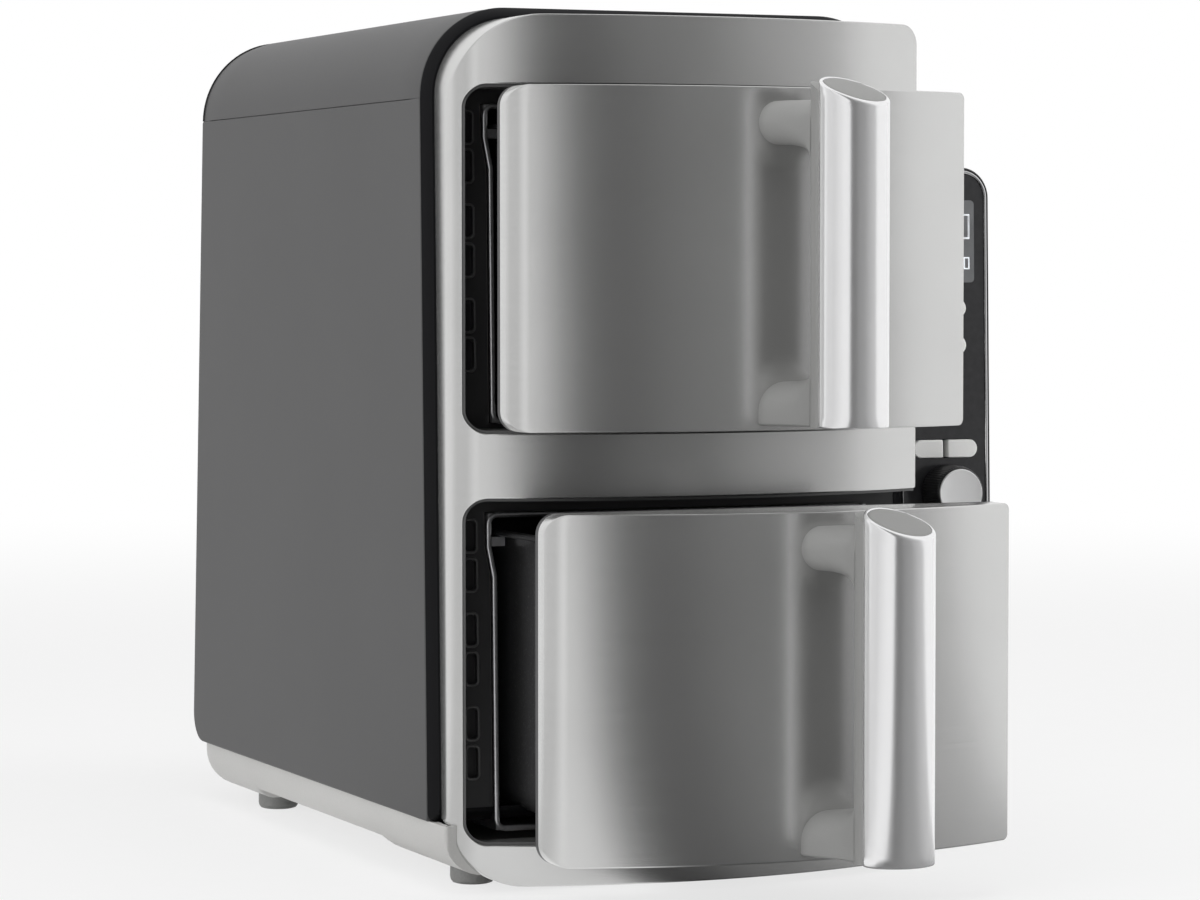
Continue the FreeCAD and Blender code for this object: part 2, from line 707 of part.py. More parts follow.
def fan_guard(bottom):
    """Pierced plate across the cavity in front of the fan, with long and short radial slots by turns."""
    z = cavity_middle(bottom)
    y = CAVITY_BACK - GUARD_SETBACK
    plate = front_block(cavity_corners(bottom, -CAVITY_GAP), y, y + GUARD_THICKNESS)
    half = GUARD_SLOT_WIDTH / 2
    slots = []
    for number in range(GUARD_SLOTS):
        start = MIDDLE + (FAN_HUB * 2 if number % 2 else FAN_RADIUS / 2)
        slot = box(start, MIDDLE + FAN_RADIUS, y, y + GUARD_THICKNESS, z - half, z + half)
        slot.rotate(Vector(MIDDLE, y, z), Vector(0, 1, 0), 360 * number / GUARD_SLOTS)
        slots.append(slot)
    return plate.cut(Part.makeCompound(slots))


def fan_span():
    """Depths of the front and back of the fan's blades."""
    back = CAVITY_BACK - CAVITY_SHEET - FAN_CLEAR
    return back - FAN_DEPTH, back


def fan(bottom):
    """Paddle fan: a disc with radial blades, a hub, and the shaft that runs back into the motor."""
    z = cavity_middle(bottom)
    front, back = fan_span()
    reach = FAN_RADIUS - FAN_HUB
    angles = [2 * math.pi * number / FAN_BLADES for number in range(FAN_BLADES)]
    plate = [(MIDDLE + reach * math.cos(angle), z + reach * math.sin(angle), 0) for angle in angles]
    wheel = front_block(plate, back - FAN_SHEET, back)
    wheel = wheel.fuse(hex_rod(2 * FAN_HUB, MIDDLE, z, front, back))
    for number in range(FAN_BLADES):
        blade = box(MIDDLE + FAN_HUB / 2, MIDDLE + FAN_RADIUS, front, back, z, z + FAN_SHEET)
        blade.rotate(Vector(MIDDLE, front, z), Vector(0, 1, 0), 360 * number / FAN_BLADES)
        wheel = wheel.fuse(blade)
    return wheel.fuse(rod(SHAFT_DIAMETER, MIDDLE, z, back, CAVITY_BACK + MOTOR_LENGTH / 2)).removeSplitter()


def fan_motor(bottom):
    """Motor on the back of the cavity: a square stack with cut corners, and the bore its shaft runs in."""
    z = cavity_middle(bottom)
    half = MOTOR_SIZE / 2
    cut = MOTOR_SIZE * MOTOR_CORNER
    corners = [(MIDDLE + x * half, z + u * half) for x, u in ((-1, -1), (1, -1), (1, 1), (-1, 1))]
    stack = [(x, u, 0) for x, u in corners]
    body = front_block(stack, CAVITY_BACK, CAVITY_BACK + MOTOR_LENGTH)
    uprights = [edge for edge in body.Edges if abs(edge.Vertexes[0].Y - edge.Vertexes[1].Y) > TINY]
    bore = rod(SHAFT_DIAMETER + 2 * SHAFT_CLEARANCE, MIDDLE, z, 0, CAVITY_BACK + MOTOR_LENGTH / 2 + RUN_GAP)
    return body.makeChamfer(cut, uprights).cut(bore)


def heater(bottom):
    """Sheathed heating tube bent round the fan in equal straight runs, on two legs through the cavity's back."""
    z = cavity_middle(bottom)
    front, back = fan_span()
    y = (front + back) / 2
    turn = 360 / HEATER_RUNS
    reach = HEATER_RADIUS * math.tan(math.radians(turn / 2))
    far = MIDDLE + 2 * HEATER_RADIUS
    sector = [(MIDDLE, z, 0), (far, z - 2 * reach, 0), (far, z + 2 * reach, 0)]
    start = z - 2 * reach
    half = HEATER_TUBE / 2
    ring = [(MIDDLE + HEATER_RADIUS + half * math.cos(angle), y + half * math.sin(angle), 0)
            for angle in (2 * math.pi * side / HEATER_SIDES for side in range(HEATER_SIDES))]
    tube = plan_block(ring, start, start + 4 * reach)
    tube = tube.common(front_block(sector, y - HEATER_TUBE, y + HEATER_TUBE))
    runs = []
    for number in range(HEATER_RUNS):
        run = tube.copy()
        run.rotate(Vector(MIDDLE, y, z), Vector(0, 1, 0), turn * (number + 0.5))
        runs.append(run)
    legs = [hex_rod(HEATER_LEG, x, leg_z, y, CAVITY_BACK + HEATER_TUBE) for x, leg_z in heater_legs(bottom)]
    return runs[0].fuse(runs[1:] + legs).removeSplitter()


def drawer_corners(bottom, inset):
    """Front-view outline of a drawer front."""
    left = FRONT_LEFT + inset
    right = FRAME_RIGHT - inset
    low = bottom + OPENING_TRIM + FRONT_GAP + inset
    top = bottom + OPENING_HEIGHT - OPENING_TRIM - FRONT_GAP - inset
    big = DRAWER_LEFT_CORNER - inset
    small = max(DRAWER_RIGHT_CORNER - inset, 0)
    return [(left, low, big), (right, low, small), (right, top, small), (left, top, big)]


def drawer_plan(inset):
    """Bowed plan of a drawer front, drawn in all round by inset, with its left end turned back."""
    plan = bow_block(FRONT_LEFT + inset, FRAME_RIGHT - inset, inset, SKIN_BACK, -STEP, STEP)
    return fillet_upright(plan, FRONT_LEFT + inset, DRAWER_TURN - inset)


def drawer_front(bottom):
    """Bowed drawer skin with a shallow rim, open at the back."""
    deep = STEP / 2
    outer = drawer_plan(0).common(front_block(drawer_corners(bottom, 0), -deep, deep))
    inner = drawer_plan(DRAWER_SKIN).common(front_block(drawer_corners(bottom, DRAWER_SKIN), -deep, deep))
    skin = outer.cut(inner)
    holes = [hex_rod(SCREW_SHANK + 2 * SEAT_GAP, HANDLE_X, z, -deep, 0) for z in screw_heights(bottom)]
    return skin.cut(Part.makeCompound(holes))


def drawer_back(bottom):
    """Black plate that closes the drawer skin, with a lip that nests in its rim."""
    plate = front_block(drawer_corners(bottom, 0), SKIN_BACK, DRAWER_REAR)
    lip = front_block(drawer_corners(bottom, DRAWER_SKIN + SEAT_GAP), SKIN_BACK - BACK_LIP, SKIN_BACK)
    lip = lip.cut(front_block(drawer_corners(bottom, DRAWER_SKIN + SEAT_GAP + LIP_WALL), -STEP, STEP))
    return plate.fuse(lip.common(drawer_plan(DRAWER_SKIN + SEAT_GAP)))


def middle_height(bottom):
    """Height of the middle of a drawer front."""
    return bottom + OPENING_HEIGHT / 2


def post_heights(bottom):
    """Heights of the two handle posts: the lower one ends flush with the handle's lower end."""
    low = middle_height(bottom) - HANDLE_HEIGHT / 2 + POST_HEIGHT / 2
    return [low, low + POST_SPACING]


def screw_heights(bottom):
    """Heights of the two handle screws, a little inward of the posts' middles."""
    low, high = post_heights(bottom)
    return [low + SCREW_INWARD, high - SCREW_INWARD]


def oval_face(inset, z):
    """Plan face of the handle's section at height z, drawn in by inset: two wide arcs and two tight ends."""
    a = HANDLE_WIDTH / 2
    b = HANDLE_THICKNESS / 2
    wide = (a ** 2 + b ** 2 - 2 * a * HANDLE_END) / (2 * (b - HANDLE_END))
    slope = Vector(a - HANDLE_END, b - wide, 0).normalize()
    meet = Vector(0, wide - b, 0) + slope * (wide - inset)
    stops = [(-meet.x, meet.y), (0, inset - b), (meet.x, meet.y), (a - inset, 0),
             (meet.x, -meet.y), (0, b - inset), (-meet.x, -meet.y), (inset - a, 0), (-meet.x, meet.y)]
    points = [Vector(HANDLE_X + x, HANDLE_Y + y, z) for x, y in stops]
    arcs = [Part.Arc(*points[first:first + 3]).toShape() for first in range(0, len(points) - 1, 2)]
    return Part.Face(Part.Wire(arcs))


def handle_column(inset, z0, z1):
    """Upright oval column of the handle's section, drawn in by inset."""
    return oval_face(inset, z0).extrude(Vector(0, 0, z1 - z0))


def above_cap(bottom, drop):
    """Half space above the oblique top plane of a handle, lowered by drop."""
    block = box(-STEP, STEP, -STEP, STEP, -drop, STEP)
    block.rotate(Vector(0, 0, 0), Vector(1, 0, 0), HANDLE_PITCH)
    block.rotate(Vector(0, 0, 0), Vector(0, 1, 0), HANDLE_ROLL)
    block.translate(Vector(HANDLE_X, HANDLE_Y, middle_height(bottom) + HANDLE_HEIGHT / 2))
    return block


def handle_span(bottom):
    """Lower end of a handle, and a height above all of its top plane."""
    middle = middle_height(bottom)
    return middle - HANDLE_HEIGHT / 2, middle + HANDLE_HEIGHT


def handle_shell(bottom):
    """Chromed oval sleeve, open at the back, with an oblique top that takes the cap."""
    low, high = handle_span(bottom)
    sleeve = handle_column(0, low, high).cut(above_cap(bottom, 0))
    sleeve = sleeve.cut(handle_column(CAP_MARGIN, low, high).common(above_cap(bottom, CAP_DEPTH)))
    core = handle_column(HANDLE_SHELL, low + HANDLE_SHELL, high)
    core = core.cut(above_cap(bottom, CAP_DEPTH + HANDLE_SHELL))
    back = box(-STEP, STEP, HANDLE_Y + HANDLE_SPLIT, STEP, -STEP, STEP)
    return sleeve.cut(core).cut(back.cut(above_cap(bottom, CAP_DEPTH + HANDLE_SHELL)))


def handle_cap(bottom):
    """Matte oval plate set into the oblique top of the handle."""
    low, high = handle_span(bottom)
    plate = handle_column(CAP_MARGIN + SEAT_GAP, low, high)
    return plate.common(above_cap(bottom, CAP_DEPTH)).cut(above_cap(bottom, 0))


def handle_backing(bottom):
    """Grey moulding behind the sleeve: a flat grip strip on two posts that stand on the drawer skin."""
    low, high = handle_span(bottom)
    front = HANDLE_Y + HANDLE_SPLIT
    half = GRIP_WIDTH / 2
    plan = [(HANDLE_X - half, front, 0), (HANDLE_X + half, front, 0),
            (HANDLE_X + half, GRIP_BACK, GRIP_ROUND), (HANDLE_X - half, GRIP_BACK, GRIP_ROUND)]
    strip = plan_block(plan, low, high).cut(above_cap(bottom, CAP_DEPTH + HANDLE_SHELL))
    heights = post_heights(bottom)
    posts = [handle_post(heights[0], True), handle_post(heights[1], False)]
    surface = bow_block(FRONT_LEFT, FRAME_RIGHT, 0, STEP, -STEP, STEP)
    holes = [hex_rod(SCREW_SHANK + 2 * SEAT_GAP, HANDLE_X, z, BOW_APEX - SCREW_LENGTH, 0)
             for z in screw_heights(bottom)]
    return strip.fuse(posts).cut(surface).cut(Part.makeCompound(holes)).removeSplitter()


def handle_post(z, flat_below):
    """One post that widens towards the drawer skin, with round edges or with a flat underside."""
    side = POST_HEIGHT / 2
    start = GRIP_BACK - GRIP_ROUND
    run = SKIN_BACK - start
    spread = (POST_WIDTH - GRIP_WIDTH) / 2 * run / (BOW_APEX - start)
    edge = side * math.hypot(run, spread) / run
    half = GRIP_WIDTH / 2

    def wedge(inset, low):
        near = half - inset
        far = near + spread
        plan = [(HANDLE_X - near, start, 0), (HANDLE_X + near, start, 0),
                (HANDLE_X + far, SKIN_BACK, 0), (HANDLE_X - far, SKIN_BACK, 0)]
        return plan_block(plan, z - side, low)

    pieces = []
    for hand in (-1, 1):
        axis = Vector(hand * spread, run, 0)
        pieces.append(Part.makeCylinder(side, axis.Length, Vector(HANDLE_X + hand * (half - edge), start, z), axis))
    if flat_below:
        pieces.append(wedge(0, z))
    return wedge(edge, z + side).fuse(pieces)


def handle_screws(bottom):
    """Two screws that hold the handle posts from inside the drawer skin."""
    seat = BOW_CENTRE - math.sqrt((BOW_RADIUS - DRAWER_SKIN) ** 2 - (HANDLE_X + SCREW_HEAD / 2 - MIDDLE) ** 2)
    return Part.makeCompound([screw(HANDLE_X, z, seat) for z in screw_heights(bottom)])


def basket_corners(inset):
    """Plan outline of the basket's mouth, drawn in all round by inset."""
    half = BASKET_WIDTH / 2 - inset
    return rectangle(MIDDLE - half, MIDDLE + half, DRAWER_REAR + RIM_WIDTH + inset,
                     DRAWER_REAR + BASKET_DEPTH - inset, BASKET_CORNER - inset)


def pan_block(inset, low, top):
    """Solid pan with upright walls, round corners and a bevelled floor edge, drawn in all round by inset."""
    pan = plan_block(basket_corners(inset), low, top)
    floor_edges = [edge for edge in pan.Edges if all(abs(v.Z - low) < TINY for v in edge.Vertexes)]
    return pan.makeChamfer(BASKET_BEVEL, floor_edges)


def basket(bottom):
    """Deep pan with bevelled lower edges and an outward rim, whose front edge meets the drawer's back."""
    top = rim_top(bottom)
    low = top - BASKET_HEIGHT
    pan = pan_block(0, low, top)
    inside = pan_block(BASKET_WALL, low + BASKET_WALL, top)
    rim = plan_block(basket_corners(-RIM_WIDTH), top - RIM_THICKNESS, top)
    return pan.fuse(rim).cut(inside)


def plate_corners(extra):
    """Plan outline of the crisper plate, clear of the basket's walls."""
    return basket_corners(BASKET_WALL + PLATE_GAP + extra)


def plate_height(bottom):
    """Height of the underside of the crisper plate."""
    return rim_top(bottom) - BASKET_HEIGHT + BASKET_WALL + PLATE_RISE


def crisper_plate(bottom):
    """Flat plate with rows of slots and a hole for the neck of each foot."""
    z = plate_height(bottom)
    corners = plate_corners(0)
    plate = plan_block(corners, z, z + PLATE_THICKNESS)
    width = corners[1][0] - corners[0][0]
    length = corners[2][1] - corners[1][1]
    middle_y = (corners[1][1] + corners[2][1]) / 2
    columns = int((width - 2 * PLATE_FOOT_INSET) // (PLATE_SLOT_LENGTH + PLATE_SLOT))
    rows = int((length - 4 * PLATE_FOOT_INSET) // PLATE_SLOT_PITCH)
    half = PLATE_SLOT_LENGTH / 2
    side = PLATE_SLOT / 2
    tools = []
    for row in range(rows):
        y = middle_y + (row - (rows - 1) / 2) * PLATE_SLOT_PITCH
        for column in range(columns):
            x = MIDDLE + (column - (columns - 1) / 2) * (PLATE_SLOT_LENGTH + PLATE_SLOT)
            tools.append(box(x - half, x + half, y - side, y + side, z, z + PLATE_THICKNESS))
    for x, y in plate_foot_places():
        tools.append(square_post(x, y, PLATE_FOOT_NECK + 2 * SEAT_GAP, z, z + PLATE_THICKNESS))
    return plate.cut(Part.makeCompound(tools))


def plate_foot_places():
    """X and Y of the four soft feet of a crisper plate."""
    corners = plate_corners(PLATE_FOOT_INSET)
    return [(x, y) for x, y, radius in corners]


def square_post(x, y, width, z0, z1):
    """Upright square post about a point."""
    half = width / 2
    return box(x - half, x + half, y - half, y + half, z0, z1)


def plate_feet(bottom):
    """Four soft feet, each buttoned through the crisper plate and standing on the basket's floor."""
    top = plate_height(bottom)
    feet = []
    for x, y in plate_foot_places():
        foot = square_post(x, y, PLATE_FOOT_WIDTH, top - PLATE_RISE, top)
        feet.append(foot.fuse(square_post(x, y, PLATE_FOOT_NECK, top, top + 2 * PLATE_THICKNESS)))
    return Part.makeCompound(feet)


def lean_pod(shape):
    """A pod piece built upright with its front at y = 0, set behind the leaning front plane."""
    moved = shape.copy()
    moved.translate(Vector(0, POD_SETBACK, 0))
    return lean_front(moved)


def pod_corners(inset):
    """Front-view outline of the control pod."""
    return rectangle(CASE_RIGHT + inset, POD_RIGHT - inset, POD_BOTTOM + inset, POD_TOP - inset, POD_CORNER - inset)


def control_housing():
    """Pod shell on the case's right side, bevelled at the back, open at the front for the panel."""
    shell = front_block(pod_corners(0), 0, POD_DEPTH)
    back_edges = [edge for edge in shell.Edges if all(abs(v.Y - POD_DEPTH) < TINY for v in edge.Vertexes)]
    shell = shell.makeChamfer(POD_BACK_BEVEL, back_edges)
    seat = front_block(pod_corners(POD_BORDER), 0, PANEL_THICKNESS)
    room = front_block(pod_corners(POD_BORDER + CHROME_WIDTH + POD_WALL), 0, POD_DEPTH - POD_BACK_BEVEL)
    return lean_pod(shell.cut(seat).cut(room))


def panel_trim():
    """Bright line round the control panel."""
    ring = front_block(pod_corners(POD_BORDER + SEAT_GAP), -CHROME_PROUD, PANEL_THICKNESS)
    return lean_pod(ring.cut(front_block(pod_corners(POD_BORDER + CHROME_WIDTH), -STEP, STEP)))


def display_corners(inset):
    """Front-view outline of the display window."""
    half = DISPLAY_WIDTH / 2 - inset
    return rectangle(POD_MIDDLE - half, POD_MIDDLE + half, DISPLAY_BOTTOM + inset,
                     DISPLAY_BOTTOM + DISPLAY_HEIGHT - inset, max(DISPLAY_CORNER - inset, DISPLAY_CORNER / 4))


def key_shapes():
    """Front-view outline of each key by name, and the X and Z of its stem."""
    shapes = {}
    radius = ROUND_KEY / 2
    names = ("first", "second")
    for row, z in zip(names, KEY_ROWS):
        for side, x in (("left", POD_MIDDLE - KEY_COLUMN / 2), ("right", POD_MIDDLE + KEY_COLUMN / 2)):
            shapes[f"{row}_{side}_key"] = (x - radius, x + radius, z - radius, z + radius, "both")
    low = PILL_Z - PILL_HEIGHT / 2
    high = PILL_Z + PILL_HEIGHT / 2
    gap = PILL_SPLIT / 2
    shapes["left_pill_key"] = (POD_MIDDLE - PILL_WIDTH / 2, POD_MIDDLE - gap, low, high, "left")
    shapes["right_pill_key"] = (POD_MIDDLE + gap, POD_MIDDLE + PILL_WIDTH / 2, low, high, "right")
    half = START_WIDTH / 2
    shapes["start_key"] = (POD_MIDDLE - half, POD_MIDDLE + half, START_Z - radius, START_Z + radius, "both")
    shapes["power_key"] = (POD_MIDDLE - radius, POD_MIDDLE + radius, POWER_Z - radius, POWER_Z + radius, "both")
    return shapes


def key_corners(shape, grow, split_grow):
    """Outline of one key grown by grow, or by split_grow on a side that faces the other half of a pill."""
    x0, x1, z0, z1, ends = shape
    radius = (z1 - z0) / 2 + grow
    left = grow if ends in ("both", "left") else split_grow
    right = grow if ends in ("both", "right") else split_grow
    left_radius = radius if ends in ("both", "left") else 0
    right_radius = radius if ends in ("both", "right") else 0
    return [(x0 - left, z0 - grow, left_radius), (x1 + right, z0 - grow, right_radius),
            (x1 + right, z1 + grow, right_radius), (x0 - left, z1 + grow, left_radius)]


def key(shape):
    """Moulded key: a cap through the panel, a square lip behind it and a stem towards the board."""
    x0, x1, z0, z1, ends = shape
    left = KEY_LIP if ends in ("both", "left") else 0
    right = KEY_LIP if ends in ("both", "right") else 0
    back = PANEL_THICKNESS + KEY_FLANGE
    x = (x0 + x1) / 2
    z = (z0 + z1) / 2
    half = KEY_STEM / 2
    cap = front_block(key_corners(shape, 0, 0), -KEY_PROUD, PANEL_THICKNESS)
    lip = box(x0 - left, x1 + right, PANEL_THICKNESS, back, z0 - KEY_LIP, z1 + KEY_LIP)
    stem = box(x - half, x + half, back, BOARD_DEPTH - KEY_TRAVEL - SEAT_GAP, z - half, z + half)
    return lean_pod(cap.fuse(lip).fuse(stem))


def control_panel():
    """Gloss face plate with openings for the display, the keys and the dial's shaft."""
    plate = front_block(pod_corners(POD_BORDER + CHROME_WIDTH + SEAT_GAP), 0, PANEL_THICKNESS)
    tools = [front_block(display_corners(-SEAT_GAP), 0, DISPLAY_THICKNESS),
             front_block(display_corners(DISPLAY_LEDGE), 0, PANEL_THICKNESS),
             rod(DIAL_SHAFT + 2 * KEY_GAP, POD_MIDDLE, DIAL_Z, 0, PANEL_THICKNESS)]
    for shape in key_shapes().values():
        tools.append(front_block(key_corners(shape, KEY_GAP, KEY_GAP), 0, PANEL_THICKNESS))
    for tool in tools:
        plate = plate.cut(tool)
    return lean_pod(plate)


def display_window():
    """Tinted display glass, flush with the panel."""
    return lean_pod(front_block(display_corners(0), 0, DISPLAY_THICKNESS))


def control_board():
    """Circuit board behind the panel, held on the pod's walls."""
    margin = POD_BORDER + CHROME_WIDTH + POD_WALL + SEAT_GAP
    board = front_block(pod_corners(margin), BOARD_DEPTH, BOARD_DEPTH + BOARD_THICKNESS)
    return lean_pod(board)


def dial_encoder():
    """Rotary encoder on the board, with the bore that the dial's shaft runs in."""
    half = ENCODER_SIZE / 2
    start = BOARD_DEPTH - ENCODER_DEPTH
    body = box(POD_MIDDLE - half, POD_MIDDLE + half, start, BOARD_DEPTH, DIAL_Z - half, DIAL_Z + half)
    bore = rod(DIAL_SHAFT + 2 * SHAFT_CLEARANCE, POD_MIDDLE, DIAL_Z, start, BOARD_DEPTH - BOARD_THICKNESS)
    return lean_pod(body.cut(bore))


def dial_knob():
    """Black knob on the shaft that enters the encoder."""
    back = -DIAL_GAP
    front = back - DIAL_LENGTH + CAP_THICKNESS
    shaft_end = BOARD_DEPTH - BOARD_THICKNESS - RUN_GAP
    side = rod(DIAL_DIAMETER, POD_MIDDLE, DIAL_Z, front, back)
    return lean_pod(side.fuse(rod(DIAL_SHAFT, POD_MIDDLE, DIAL_Z, back, shaft_end)))


def dial_cap():
    """Turned metal disc on the front of the dial."""
    back = -DIAL_GAP - DIAL_LENGTH + CAP_THICKNESS
    return lean_pod(rod(DIAL_CAP, POD_MIDDLE, DIAL_Z, back - CAP_THICKNESS, back))


def case_nodes():
    """Pieces of the case that are made once."""
    nodes = {
        "front_frame": front_frame(),
        "front_bulkhead": front_bulkhead(),
        "left_side_panel": side_panel(CASE_LEFT),
        "right_side_panel": side_panel(CASE_RIGHT - PANEL_SHEET),
        "top_cover": top_cover(),
        "rear_cover": rear_cover(),
        "cord_gland": cord_gland(),
        "rear_screws": rear_screws(),
        "base_tray": base_tray(),
        "rubber_feet": rubber_feet(),
        "control_housing": control_housing(),
        "panel_trim": panel_trim(),
        "control_panel": control_panel(),
        "display_window": display_window(),
        "control_board": control_board(),
        "dial_encoder": dial_encoder(),
        "dial_knob": dial_knob(),
        "dial_cap": dial_cap(),
    }
    nodes.update({name: key(shape) for name, shape in key_shapes().items()})
    return nodes


FIXED_PIECES = {
    "opening_trim": opening_trim,
    "cavity": cavity,
    "runners": runners,
    "fan_guard": fan_guard,
    "fan_motor": fan_motor,
    "fan": fan,
    "heater": heater,
}
DRAWER_PIECES = {
    "drawer_front": drawer_front,
    "drawer_back": drawer_back,
    "handle_shell": handle_shell,
    "handle_cap": handle_cap,
    "handle_backing": handle_backing,
    "handle_screws": handle_screws,
    "basket": basket,
    "crisper_plate": crisper_plate,
    "plate_feet": plate_feet,
}


def storey_nodes(level):
    """Pieces that each of the two storeys has, with its drawer drawn out as far as it stands open."""
    bottom = OPENINGS[level]
    nodes = {f"{level}_{name}": make(bottom) for name, make in FIXED_PIECES.items()}
    for name, make in DRAWER_PIECES.items():
        piece = make(bottom)
        piece.translate(Vector(0, -PULLS[level], 0))
        nodes[f"{level}_{name}"] = piece
    return nodes


def save(name, shape):
    """Writes one node, moved to the object's origin."""
    piece = shape.copy()
    piece.translate(Vector(0, SHIFT, 0))
    piece.exportStep(f"parts/{name}.step")


def main():
    os.makedirs("parts", exist_ok=True)
    nodes = case_nodes()
    for level in OPENINGS:
        nodes.update(storey_nodes(level))
    for name, shape in nodes.items():
        save(name, shape)


if __name__ == "__main__":
    main()
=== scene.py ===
"""Looks of a two-drawer air fryer: smooth surfaces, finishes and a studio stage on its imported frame."""

import math

import bmesh
import bpy
import numpy as np
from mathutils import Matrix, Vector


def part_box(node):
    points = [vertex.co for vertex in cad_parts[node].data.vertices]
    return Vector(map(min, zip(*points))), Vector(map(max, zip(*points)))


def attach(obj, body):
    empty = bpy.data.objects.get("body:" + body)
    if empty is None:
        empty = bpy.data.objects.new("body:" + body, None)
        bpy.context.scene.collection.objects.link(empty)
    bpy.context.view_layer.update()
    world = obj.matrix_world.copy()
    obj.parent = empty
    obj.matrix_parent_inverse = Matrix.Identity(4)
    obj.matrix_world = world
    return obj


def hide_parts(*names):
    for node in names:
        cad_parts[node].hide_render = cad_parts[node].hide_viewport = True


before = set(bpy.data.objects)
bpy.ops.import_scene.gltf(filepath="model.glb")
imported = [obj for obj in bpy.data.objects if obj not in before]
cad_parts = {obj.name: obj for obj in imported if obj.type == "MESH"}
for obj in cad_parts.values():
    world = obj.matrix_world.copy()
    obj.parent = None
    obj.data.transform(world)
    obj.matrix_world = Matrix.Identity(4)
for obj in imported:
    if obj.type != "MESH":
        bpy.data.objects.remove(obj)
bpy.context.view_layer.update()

bl_info = {
    "name": "Two-drawer air fryer",
    "version": (1, 0, 0),
    "blender": (4, 5, 0),
    "location": "View3D > Sidebar > Fryer",
    "description": "Dresses the packed air fryer and sets its studio",
    "category": "Object",
}

FULL_TURN = 2 * math.pi
QUARTER_TURN = math.pi / 2


def low(node):
    """Lowest corner of a node at rest."""
    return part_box(node)[0]


def high(node):
    """Highest corner of a node at rest."""
    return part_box(node)[1]


# Places that several pieces share, read from the frame. Lengths are in metres.
CAVITY_REACH = 0.318
BACKWARD = high("upper_cavity").y - CAVITY_REACH
CASE_LEFT = low("left_side_panel").x
CASE_RIGHT = high("right_side_panel").x
CASE_TOP = high("top_cover").z
PANEL_LOW = low("left_side_panel").z
MIDDLE = (low("upper_drawer_front").x + high("upper_drawer_front").x) / 2

# The case's leaning planes, the rim's and the pod's depth behind the front one, and the gap round a drawer.
FRONT_FOOT, FRONT_LEAN = 0.010, math.tan(math.radians(1.36))
REAR_FOOT, REAR_LEAN = 0.3565, math.tan(math.radians(3.7))
RIM_DEPTH = 0.0046
POD_SETBACK = 0.005
OPENING_GAP = 0.002

# The handle's oval as half width, half depth and side radius, its height, and its top's rise along x and y.
HANDLE_WIDE, HANDLE_DEEP, HANDLE_SIDE = 0.0155, 0.012, 0.0095
HANDLE_TALL = 0.141
TOP_RISE = (-0.1512, 0.4716)

STOREYS = ("upper", "lower")
KEYS = ("first_left_key", "first_right_key", "second_left_key", "second_right_key",
        "left_pill_key", "right_pill_key", "start_key", "power_key")


def opening(storey):
    """Top and bottom of a storey's opening: its drawer front with a gap round it."""
    first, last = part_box(storey + "_drawer_front")
    return last.z + OPENING_GAP, first.z - OPENING_GAP


def front_line(z):
    """Depth of the leaning front plane: a straight line in z."""
    return FRONT_FOOT + BACKWARD + FRONT_LEAN * z


def rear_line(z):
    """Depth of the leaning rear plane: a straight line in z."""
    return REAR_FOOT + BACKWARD - REAR_LEAN * z


def leaning(plan, depth):
    """Front-view points at a depth behind the leaning front plane."""
    return np.stack([plan[:, 0], front_line(plan[:, 1]) + depth, plan[:, 1]], axis=-1)


def length(name, about, value):
    """A setting in metres."""
    return bpy.props.FloatProperty(name=name, description=about, default=value, unit="LENGTH")


def shade(name, about, value):
    """A colour setting."""
    return bpy.props.FloatVectorProperty(name=name, description=about, default=value, subtype="COLOR")


def power(name, about, value):
    """A setting in watts."""
    return bpy.props.FloatProperty(name=name, description=about, default=value, unit="POWER")


class Sizes(bpy.types.PropertyGroup):
    """Radii and edges that the looks add to the frame."""

    bow: length("Bow radius", "Plan radius of the bowed front", 0.262)
    edge: length("Front edge", "Rounded edge of the silver fronts", 0.0006)
    frame_corner: length("Frame corner", "Plan radius of the frame's left corner", 0.016)
    drawer_turn: length("Drawer turn", "Plan radius of a drawer's left end", 0.012)
    panel_edge: length("Panel edge", "Rounded edge of the side panels", 0.0008)
    case_round: length("Case shoulder", "Radius of the case's upper shoulders", 0.040)
    basket_round: length("Basket round", "Radius between a basket's floor and walls", 0.012)


class Colours(bpy.types.PropertyGroup):
    """Colours of the finishes, as seen in plain light."""

    front: shade("Front", "Satin metal of frame and drawers", (0.64, 0.64, 0.634))
    panel: shade("Panel", "Grained side panels and top", (0.068, 0.068, 0.069))
    base: shade("Base", "Pale base moulding", (0.66, 0.655, 0.64))
    handle: shade("Handle", "Grey of the handle's back and posts", (0.30, 0.30, 0.295))
    cap: shade("Handle cap", "Grey of the handle's cap", (0.26, 0.26, 0.255))
    pan: shade("Non-stick", "Charcoal of the baskets", (0.085, 0.085, 0.087))
    key: shade("Keys", "White of the keys", (0.88, 0.88, 0.865))


class StageSettings(bpy.types.PropertyGroup):
    """Camera and lights."""

    lens: bpy.props.FloatProperty(name="Lens", description="Focal length in millimetres", default=120.7)
    left_light: power("Left light", "Power of the left softbox", 16.0)
    right_light: power("Right light", "Power of the right softbox", 22.0)
    top_light: power("Top light", "Power of the overhead softbox", 16.0)
    fill: bpy.props.FloatProperty(name="Fill", description="Strength of the even light", default=0.27)


def sizes():
    """The size settings in use."""
    return bpy.context.scene.fryer_sizes


def colours():
    """The colour settings in use."""
    return bpy.context.scene.fryer_colours


class Wire:
    """A shader socket; arithmetic on it adds Math nodes to its tree."""

    def __init__(self, tree, socket):
        self.tree = tree
        self.socket = socket

    def math(self, operation, *values):
        """One Math node on this socket and more values."""
        sockets = dict(enumerate((self,) + values))
        return add_node(self.tree, "ShaderNodeMath", {"operation": operation}, sockets)

    def __add__(self, other):
        return self.math("ADD", other)

    def __mul__(self, other):
        return self.math("MULTIPLY", other)

    def __rsub__(self, other):
        return self.math("MULTIPLY", -1.0).math("ADD", other)

    __radd__ = __add__
    __rmul__ = __mul__


